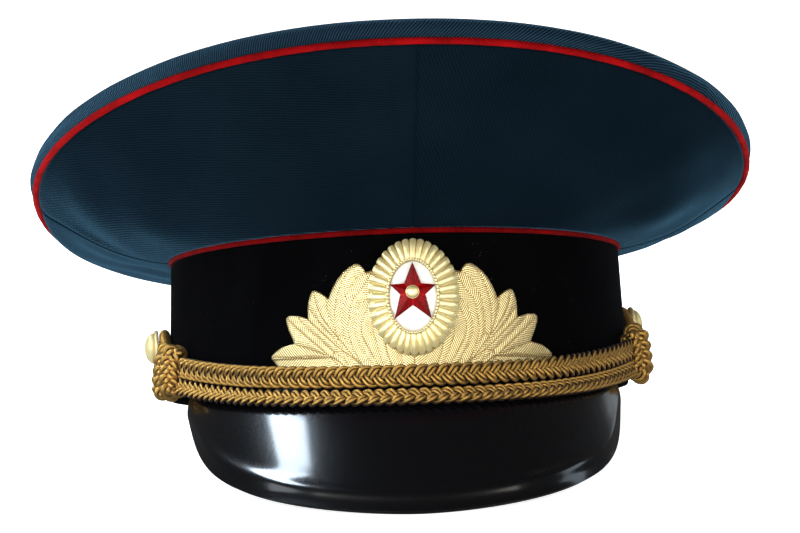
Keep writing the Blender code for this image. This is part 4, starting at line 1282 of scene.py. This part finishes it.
class CAP_OT_wreath(bpy.types.Operator):
    """Leaf spray stamped from one sheet and bent to the band. Rays run from its root to its outline.
    Each point belongs to the nearest leaf rib, and the face sinks towards the border between leaves"""

    bl_idname = "cap.wreath"
    bl_label = "Wreath"

    def execute(self, context):
        values = context.scene.visor_cap.badge
        half = WREATH_OUTLINE * 0.001
        corners = np.concatenate((half[:0:-1] * (-1, 1), half))
        key = arc_length(corners)
        column = np.linspace(0, key[-1], 681)
        outline = np.stack([np.interp(column, key, corners[:, i]) for i in range(2)], -1)
        rows = 84
        share = np.concatenate((np.linspace(0.04, 1, rows), (1.0, 0.04, 0.04)))[:, None]
        x, rise = outline[:, 0] * share, outline[:, 1] * share
        along, beside, distance = along_ribs(x, rise)
        ranked = np.sort(distance, axis=0)
        border = ranked[0] / (ranked[0] + ranked[1] + 1e-9)
        edge = np.linalg.norm(outline, axis=-1) * (1 - share)
        face = 1 - 0.26 * (2 * border) ** 3 - 0.15 * np.exp(-((ranked[0] / 0.0004) ** 2))
        face = face * (0.45 + 0.55 * smooth_step(edge / 0.0008))
        outer = smooth_step((np.abs(x) - 0.024) / 0.008)
        face = face * (1 - 0.5 * outer * (1 - smooth_step((rise - 0.0062) / 0.0008)))
        height = WREATH_BACK + WREATH_PLATE + WREATH_RELIEF * face
        back = np.arange(len(share))[:, None] >= rows
        height = np.where(back, WREATH_BACK, height)
        height[-1] = height[0]
        points = on_front(*badge_place(x * values.wreath_width, rise), height)
        leaf = np.argmin([corners_of(d).mean(-1) for d in distance], axis=0)[None, ..., None]
        uv = [
            np.take_along_axis(np.array([corners_of(t) for t in table]), leaf, axis=0)[0]
            for table in (along, beside)
        ]
        # painted shade: darker towards the border between leaves, less so low down, and darkest on the back
        tone = np.clip(2 * border, 0, 1) * 0.8 * (0.5 + 0.5 * smooth_step((rise - 0.004) / 0.003))
        plate = patch(points, np.stack(uv, -1), ring=True, tone=np.where(back, 1.0, tone))
        finish = brass_finish("wreath_brass", 0.5, values.vein_pitch)
        make_piece("badge_wreath", [plate], finish)
        return {"FINISHED"}


def on_badge(x, z, depth):
    """Points of the badge's own frame, whose -Y looks out of the badge, in the cap's frame."""
    side, height = badge_place(0.0, COCKADE_HEIGHT - WREATH_ROOT_HEIGHT)
    centre = on_front(np.array(side), height, WREATH_BACK + WREATH_PLATE + WREATH_RELIEF + GAP)
    out = band_out(math.degrees(math.asin(side / BAND_HALF_WIDTH)))
    lean = math.atan(BAND_TOP_IN / BAND_HEIGHT)
    turned = Euler((-lean, math.radians(BADGE_TURN), math.atan2(out[0], -out[1]))).to_matrix()
    return centre + vector(x - depth * BADGE_SIDE_LEAN, -depth, z) @ np.array(turned).T


class CAP_OT_cockade(bpy.types.Operator):
    """Rayed oval: a domed ring with rounded flutes and sharp valleys, scalloped at its edge. Its valleys
    carry painted shade that deepens towards its top, and its edge carries painted shade at top and bottom"""

    bl_idname = "cap.cockade"
    bl_label = "Cockade"

    def execute(self, context):
        turned = np.linspace(0, 360, FLUTES * 14 + 1)
        s, c = turn(turned)
        ridge = np.abs(np.cos(np.radians(turned) * FLUTES / 2)) ** 0.5
        rows = 22
        inward = np.concatenate((np.linspace(0, 1, rows), (1.0, 0.0, 0.0)))[:, None]
        rise = smooth_through((0, 0.18, 0.55, 1), (0.30, 0.62, 0.90, 1.0), inward)
        flute = np.interp(inward, (0, 0.18, 0.55, 1), (1.0, 1.0, 0.8, 0.3))
        reach_x = COCKADE_HALF_WIDTH + (ENAMEL_HALF_WIDTH + GAP - COCKADE_HALF_WIDTH) * inward
        reach_z = COCKADE_HALF_HEIGHT + (ENAMEL_HALF_HEIGHT + GAP - COCKADE_HALF_HEIGHT) * inward
        trim = 1 - COCKADE_SCALLOP * (1 - ridge) * (1 - inward)
        depth = COCKADE_DEPTH * rise - FLUTE_DEPTH * flute * (1 - ridge)
        back = np.arange(len(inward))[:, None] >= rows
        depth = np.where(back, 0.0, depth)
        depth[-1] = COCKADE_DEPTH * 0.3 - FLUTE_DEPTH * (1 - ridge)
        points = on_badge(reach_x * trim * s, reach_z * trim * c, depth)
        # painted shade: the valleys darker towards the top, the outer edge darker at top and bottom, and
        # the back at half
        upper, lower = smooth_step((c - 0.1) / 0.7), smooth_step((-c - 0.6) / 0.3)
        hollows = (1 - ridge) ** 1.2 * flute * (0.36 + 0.5 * upper)
        edge = (1 - smooth_step(inward / 0.16)) * (0.25 * upper + 0.5 * lower)
        tone = np.where(back, 0.5, hollows + edge)
        uv = together(turned / 360 * 0.115, inward * 0.008)
        ring = patch(points, uv, around=True, ring=True, tone=tone)
        finish = brass_finish("cockade_brass", 0.2, pale=(1.0, 0.87, 0.45))
        make_piece("badge_cockade", [ring], finish, crease=50)
        return {"FINISHED"}


class CAP_OT_enamel(bpy.types.Operator):
    """White enamel oval with a low dome, and a rim of small beads round it"""

    bl_idname = "cap.enamel"
    bl_label = "Enamel and bead rim"

    def execute(self, context):
        turned = np.linspace(0, 360, 145)
        s, c = turn(turned)
        share = np.concatenate(((0.0,), np.sin(np.linspace(0.05, np.pi / 2, 20)), (1.0, 0.0)))[:, None]
        dome = COCKADE_DEPTH - 0.0002 + ENAMEL_DOME * (1 - share**2) + 0.0002 * (1 - share**12)
        dome[-2:] = 0.0
        points = on_badge(ENAMEL_HALF_WIDTH * share * s, ENAMEL_HALF_HEIGHT * share * c, dome)
        uv = together(turned / 360 * 0.065, share * 0.012)
        # painted shade: the tone rises towards the edge of the oval, next to the bead rim
        oval = patch(points, uv, around=True, poles=(True, True), tone=share**10)
        make_piece("badge_enamel", [oval], white_finish())

        beads = 64
        angle = np.linspace(0, 360, beads * 10 + 1)
        s, c = turn(angle)
        half_width, half_height = ENAMEL_HALF_WIDTH + BEAD_RIM_RADIUS, ENAMEL_HALF_HEIGHT + BEAD_RIM_RADIUS
        path = vector(half_width * s, 0, half_height * c)
        bead = np.abs(np.sin(np.radians(angle) * beads / 2)) ** 0.6
        section = circle(14) * (BEAD_RIM_RADIUS * (0.72 + 0.28 * bead))[:, None, None]
        ring = sweep(path, np.broadcast_to((0.0, -1.0, 0.0), path.shape), section, closed=True)
        ring = on_badge(ring[..., 0], ring[..., 2], COCKADE_DEPTH + BEAD_RIM_RADIUS + GAP - ring[..., 1])
        uv = together(arc_length(path)[:, None], np.linspace(0, 0.004, 15))
        # painted shade: darker between the beads
        rim = patch(ring, uv, around=True, ring=True, tone=((1 - bead) ** 1.5)[:, None])
        make_piece("badge_bead_rim", [rim], brass_finish("bead_brass", 0.4))
        return {"FINISHED"}


class CAP_OT_star(bpy.types.Operator):
    """Red star: straight facets that rise from its outline to ridges along its five arms, with a
    small plain boss at its middle"""

    bl_idname = "cap.star"
    bl_label = "Star and boss"

    def execute(self, context):
        outline = np.array((
            (0.0, 1.0), (0.37, 0.29), (1.0, 0.255), (0.54, -0.07), (0.80, -0.87), (0.0, -0.42),
            (-0.80, -0.87), (-0.54, -0.07), (-1.0, 0.255), (-0.37, 0.29), (0.0, 1.0),
        )) * (STAR_HALF_WIDTH, STAR_HALF_HEIGHT)
        column = np.linspace(0, 10, 121)
        edge = np.stack([np.interp(column, np.arange(11), outline[:, i]) for i in range(2)], -1)
        share = np.concatenate(((0.0, 1.0), np.linspace(1, 0, 16)))[:, None]
        back = COCKADE_DEPTH + ENAMEL_DOME + GAP
        rise = STAR_PLATE + STAR_PEAK * (1 - share)
        rise[:2] = 0.0
        points = on_badge(edge[:, 0] * share, STAR_RAISE + edge[:, 1] * share, back + rise)
        along = np.abs(((column + 1) % 2) - 1)
        uv = together(along * 0.004, share * 0.008)
        # painted shade: darker along each arm's ridge and towards the outline
        tone = (1 - along) * 0.6 + share**6 * 0.4
        star = patch(points, uv, around=True, poles=(True, True), tone=tone)
        make_piece("badge_star", [star], red_finish(), crease=12)

        turned = np.linspace(0, 360, 73)
        s, c = turn(turned)
        profile = np.array((
            (0.0, 0.0), (1.0, 0.0), (1.0, 0.3), (0.94, 0.45), (0.84, 0.42), (0.80, 0.5), (0.62, 0.78),
            (0.35, 0.95), (0.0, 1.0),
        )) * (BOSS_RADIUS, BOSS_HEIGHT)
        base = back + STAR_PLATE + STAR_PEAK + GAP
        r, rise = profile[:, :1], profile[:, 1:]
        points = on_badge(r * s, STAR_RAISE + r * c, base + rise)
        # painted shade: a dark ring in the boss's groove
        tone = np.exp(-(((r / BOSS_RADIUS - 0.84) / 0.05) ** 2))
        boss = patch(points, together(turned / 360 * 0.015, r), around=True, poles=(True, True), tone=tone)
        make_piece("badge_boss", [boss], brass_finish("boss_brass", 0.2))
        return {"FINISHED"}


# Stage


class CAP_OT_stage(bpy.types.Operator):
    """Pale floor that sweeps up behind the cap, soft lights and the camera. The floor and the two rear
    lights aren't mirrored in the cap"""

    bl_idname = "cap.stage"
    bl_label = "Stage"

    def execute(self, context):
        values = context.scene.visor_cap.stage
        share = np.linspace(0, 1, 40)
        bend = np.radians(90 * np.clip((share - 0.5) / 0.25, 0, 1))
        y = np.where(share < 0.5, -3 + 12 * share, 3 + 0.5 * np.sin(bend))
        z = np.where(share < 0.5, 0.0, 0.5 - 0.5 * np.cos(bend)) + np.clip(share - 0.75, 0, 1) * 0.4
        x = np.linspace(-4, 4, 12)
        points = vector(x, y[:, None], z[:, None])
        mesh = bpy.data.meshes.new("floor")
        quads = corners_of(np.arange(points[..., 0].size).reshape(points.shape[:2])).reshape(-1, 4)
        mesh.from_pydata(points.reshape(-1, 3).tolist(), [], quads.tolist())
        mesh.shade_smooth()
        mesh.materials.append(floor_finish())
        floor = bpy.data.objects.new("floor", mesh)
        context.scene.collection.objects.link(floor)
        floor.visible_glossy = False

        unseen = ("rear left", "rear right")
        for name, place, aim, width, depth, power, colour in (
            ("strip", (-0.84, 0.22, 1.04), (0, -0.1, 0.03), 0.72, 0.32, values.strip, (0.72, 0.86, 1.0)),
            ("front left", (-1.5, -2.1, 0.95), (0, -0.1, 0.05), 2.2, 1.1, values.left, (1.0, 1.0, 1.0)),
            ("front right", (1.6, -1.7, 0.85), (0, -0.1, 0.05), 1.6, 1.0, values.right, (1.0, 0.95, 0.85)),
            ("front", (0.05, -2.4, 0.6), (0, -0.1, 0.06), 2.0, 1.1, values.front, (1.0, 0.98, 0.94)),
            ("side", (-2.0, -0.5, 0.6), (-0.1, 0, 0.05), 0.9, 0.7, values.side, (0.85, 0.93, 1.0)),
            ("rear left", (-1.35, 0.9, 0.3), (0, 0, 0.05), 1.1, 0.7, values.rear_left, (0.8, 0.9, 1.0)),
            ("rear right", (1.35, 0.9, 0.3), (0, 0, 0.05), 1.1, 0.7, values.rear_right, (0.8, 0.9, 1.0)),
            ("edge", (0.95, 1.45, 0.3), (0, 0, 0.05), 0.6, 0.5, values.edge, (0.85, 0.93, 1.0)),
            ("low right", (1.6, 0.3, 0.55), (0, -0.05, 0.05), 0.5, 0.35, values.low, (0.72, 0.86, 1.0)),
            ("back", (0, 1.6, 1.8), (0, 0.2, 0), 3.0, 1.4, values.back, (1.0, 1.0, 1.0)),
        ):
            light = bpy.data.lights.new(name, "AREA")
            light.shape = "RECTANGLE"
            light.size, light.size_y = width, depth
            light.energy = power
            light.color = colour
            lamp = bpy.data.objects.new(name, light)
            lamp.location = place
            lamp.visible_glossy = name not in unseen
            lamp.rotation_euler = (Vector(aim) - Vector(place)).to_track_quat("-Z", "Y").to_euler()
            context.scene.collection.objects.link(lamp)
        world = bpy.data.worlds.new("surroundings")
        context.scene.world = world
        world.use_nodes = True
        sky = world.node_tree.nodes["Background"]
        sky.inputs[0].default_value = (1, 1, 1, 1)
        sky.inputs[1].default_value = values.world
        context.scene.view_settings.view_transform = "Standard"

        pitch, yaw, roll = (math.radians(v) for v in CAMERA_TURN)
        level = math.cos(pitch)
        back = Vector((level * math.sin(yaw), -level * math.cos(yaw), math.sin(pitch)))
        right = (-back).cross(Vector((0, 0, 1))).normalized()
        up = right.cross(-back)
        turned = Matrix((
            math.cos(roll) * right - math.sin(roll) * up,
            math.sin(roll) * right + math.cos(roll) * up,
            back,
        )).transposed()
        standing = Matrix.Translation(STAND) @ Matrix.Rotation(-LEAN, 4, "X")
        lens = bpy.data.cameras.new("camera")
        lens.sensor_width = CAMERA_SENSOR
        lens.lens = CAMERA_LENS
        lens.shift_x, lens.shift_y = CAMERA_SHIFT
        lens.clip_start, lens.clip_end = 0.05, 20
        camera = bpy.data.objects.new("camera", lens)
        place = Matrix.Translation(Vector((0, 0, CAMERA_AIM_HEIGHT)) + back * CAMERA_DISTANCE)
        camera.matrix_world = standing @ place @ turned.to_4x4()
        context.scene.collection.objects.link(camera)
        context.scene.camera = camera
        return {"FINISHED"}


OPERATORS = (
    CAP_OT_quarters, CAP_OT_top, CAP_OT_piping, CAP_OT_band, CAP_OT_visor, CAP_OT_cords, CAP_OT_knots,
    CAP_OT_loops, CAP_OT_buttons, CAP_OT_wreath, CAP_OT_cockade, CAP_OT_enamel, CAP_OT_star, CAP_OT_stage,
)
GROUPS = (
    CrownSettings, PipingSettings, VisorSettings, CordSettings, BadgeSettings, StageSettings, CapSettings,
)


class CAP_PT_panel(bpy.types.Panel):
    """The cap's pieces, one button each, with their settings"""

    bl_idname = "CAP_PT_panel"
    bl_label = "Visor cap"
    bl_space_type = "VIEW_3D"
    bl_region_type = "UI"
    bl_category = "Cap"

    def draw(self, context):
        for group in CapSettings.__annotations__:
            values = getattr(context.scene.visor_cap, group)
            box = self.layout.box()
            for name in values.__annotations__:
                box.prop(values, name)
        for operator in OPERATORS:
            self.layout.operator(operator.bl_idname)


def register():
    for made in (*GROUPS, *OPERATORS, CAP_PT_panel):
        bpy.utils.register_class(made)
    bpy.types.Scene.visor_cap = PointerProperty(type=CapSettings)


def unregister():
    del bpy.types.Scene.visor_cap
    for made in (CAP_PT_panel, *OPERATORS[::-1], *GROUPS[::-1]):
        bpy.utils.unregister_class(made)


def main():
    register()
    for operator in OPERATORS:
        group, name = operator.bl_idname.split(".")
        getattr(getattr(bpy.ops, group), name)()


if __name__ == "__main__":
    main()
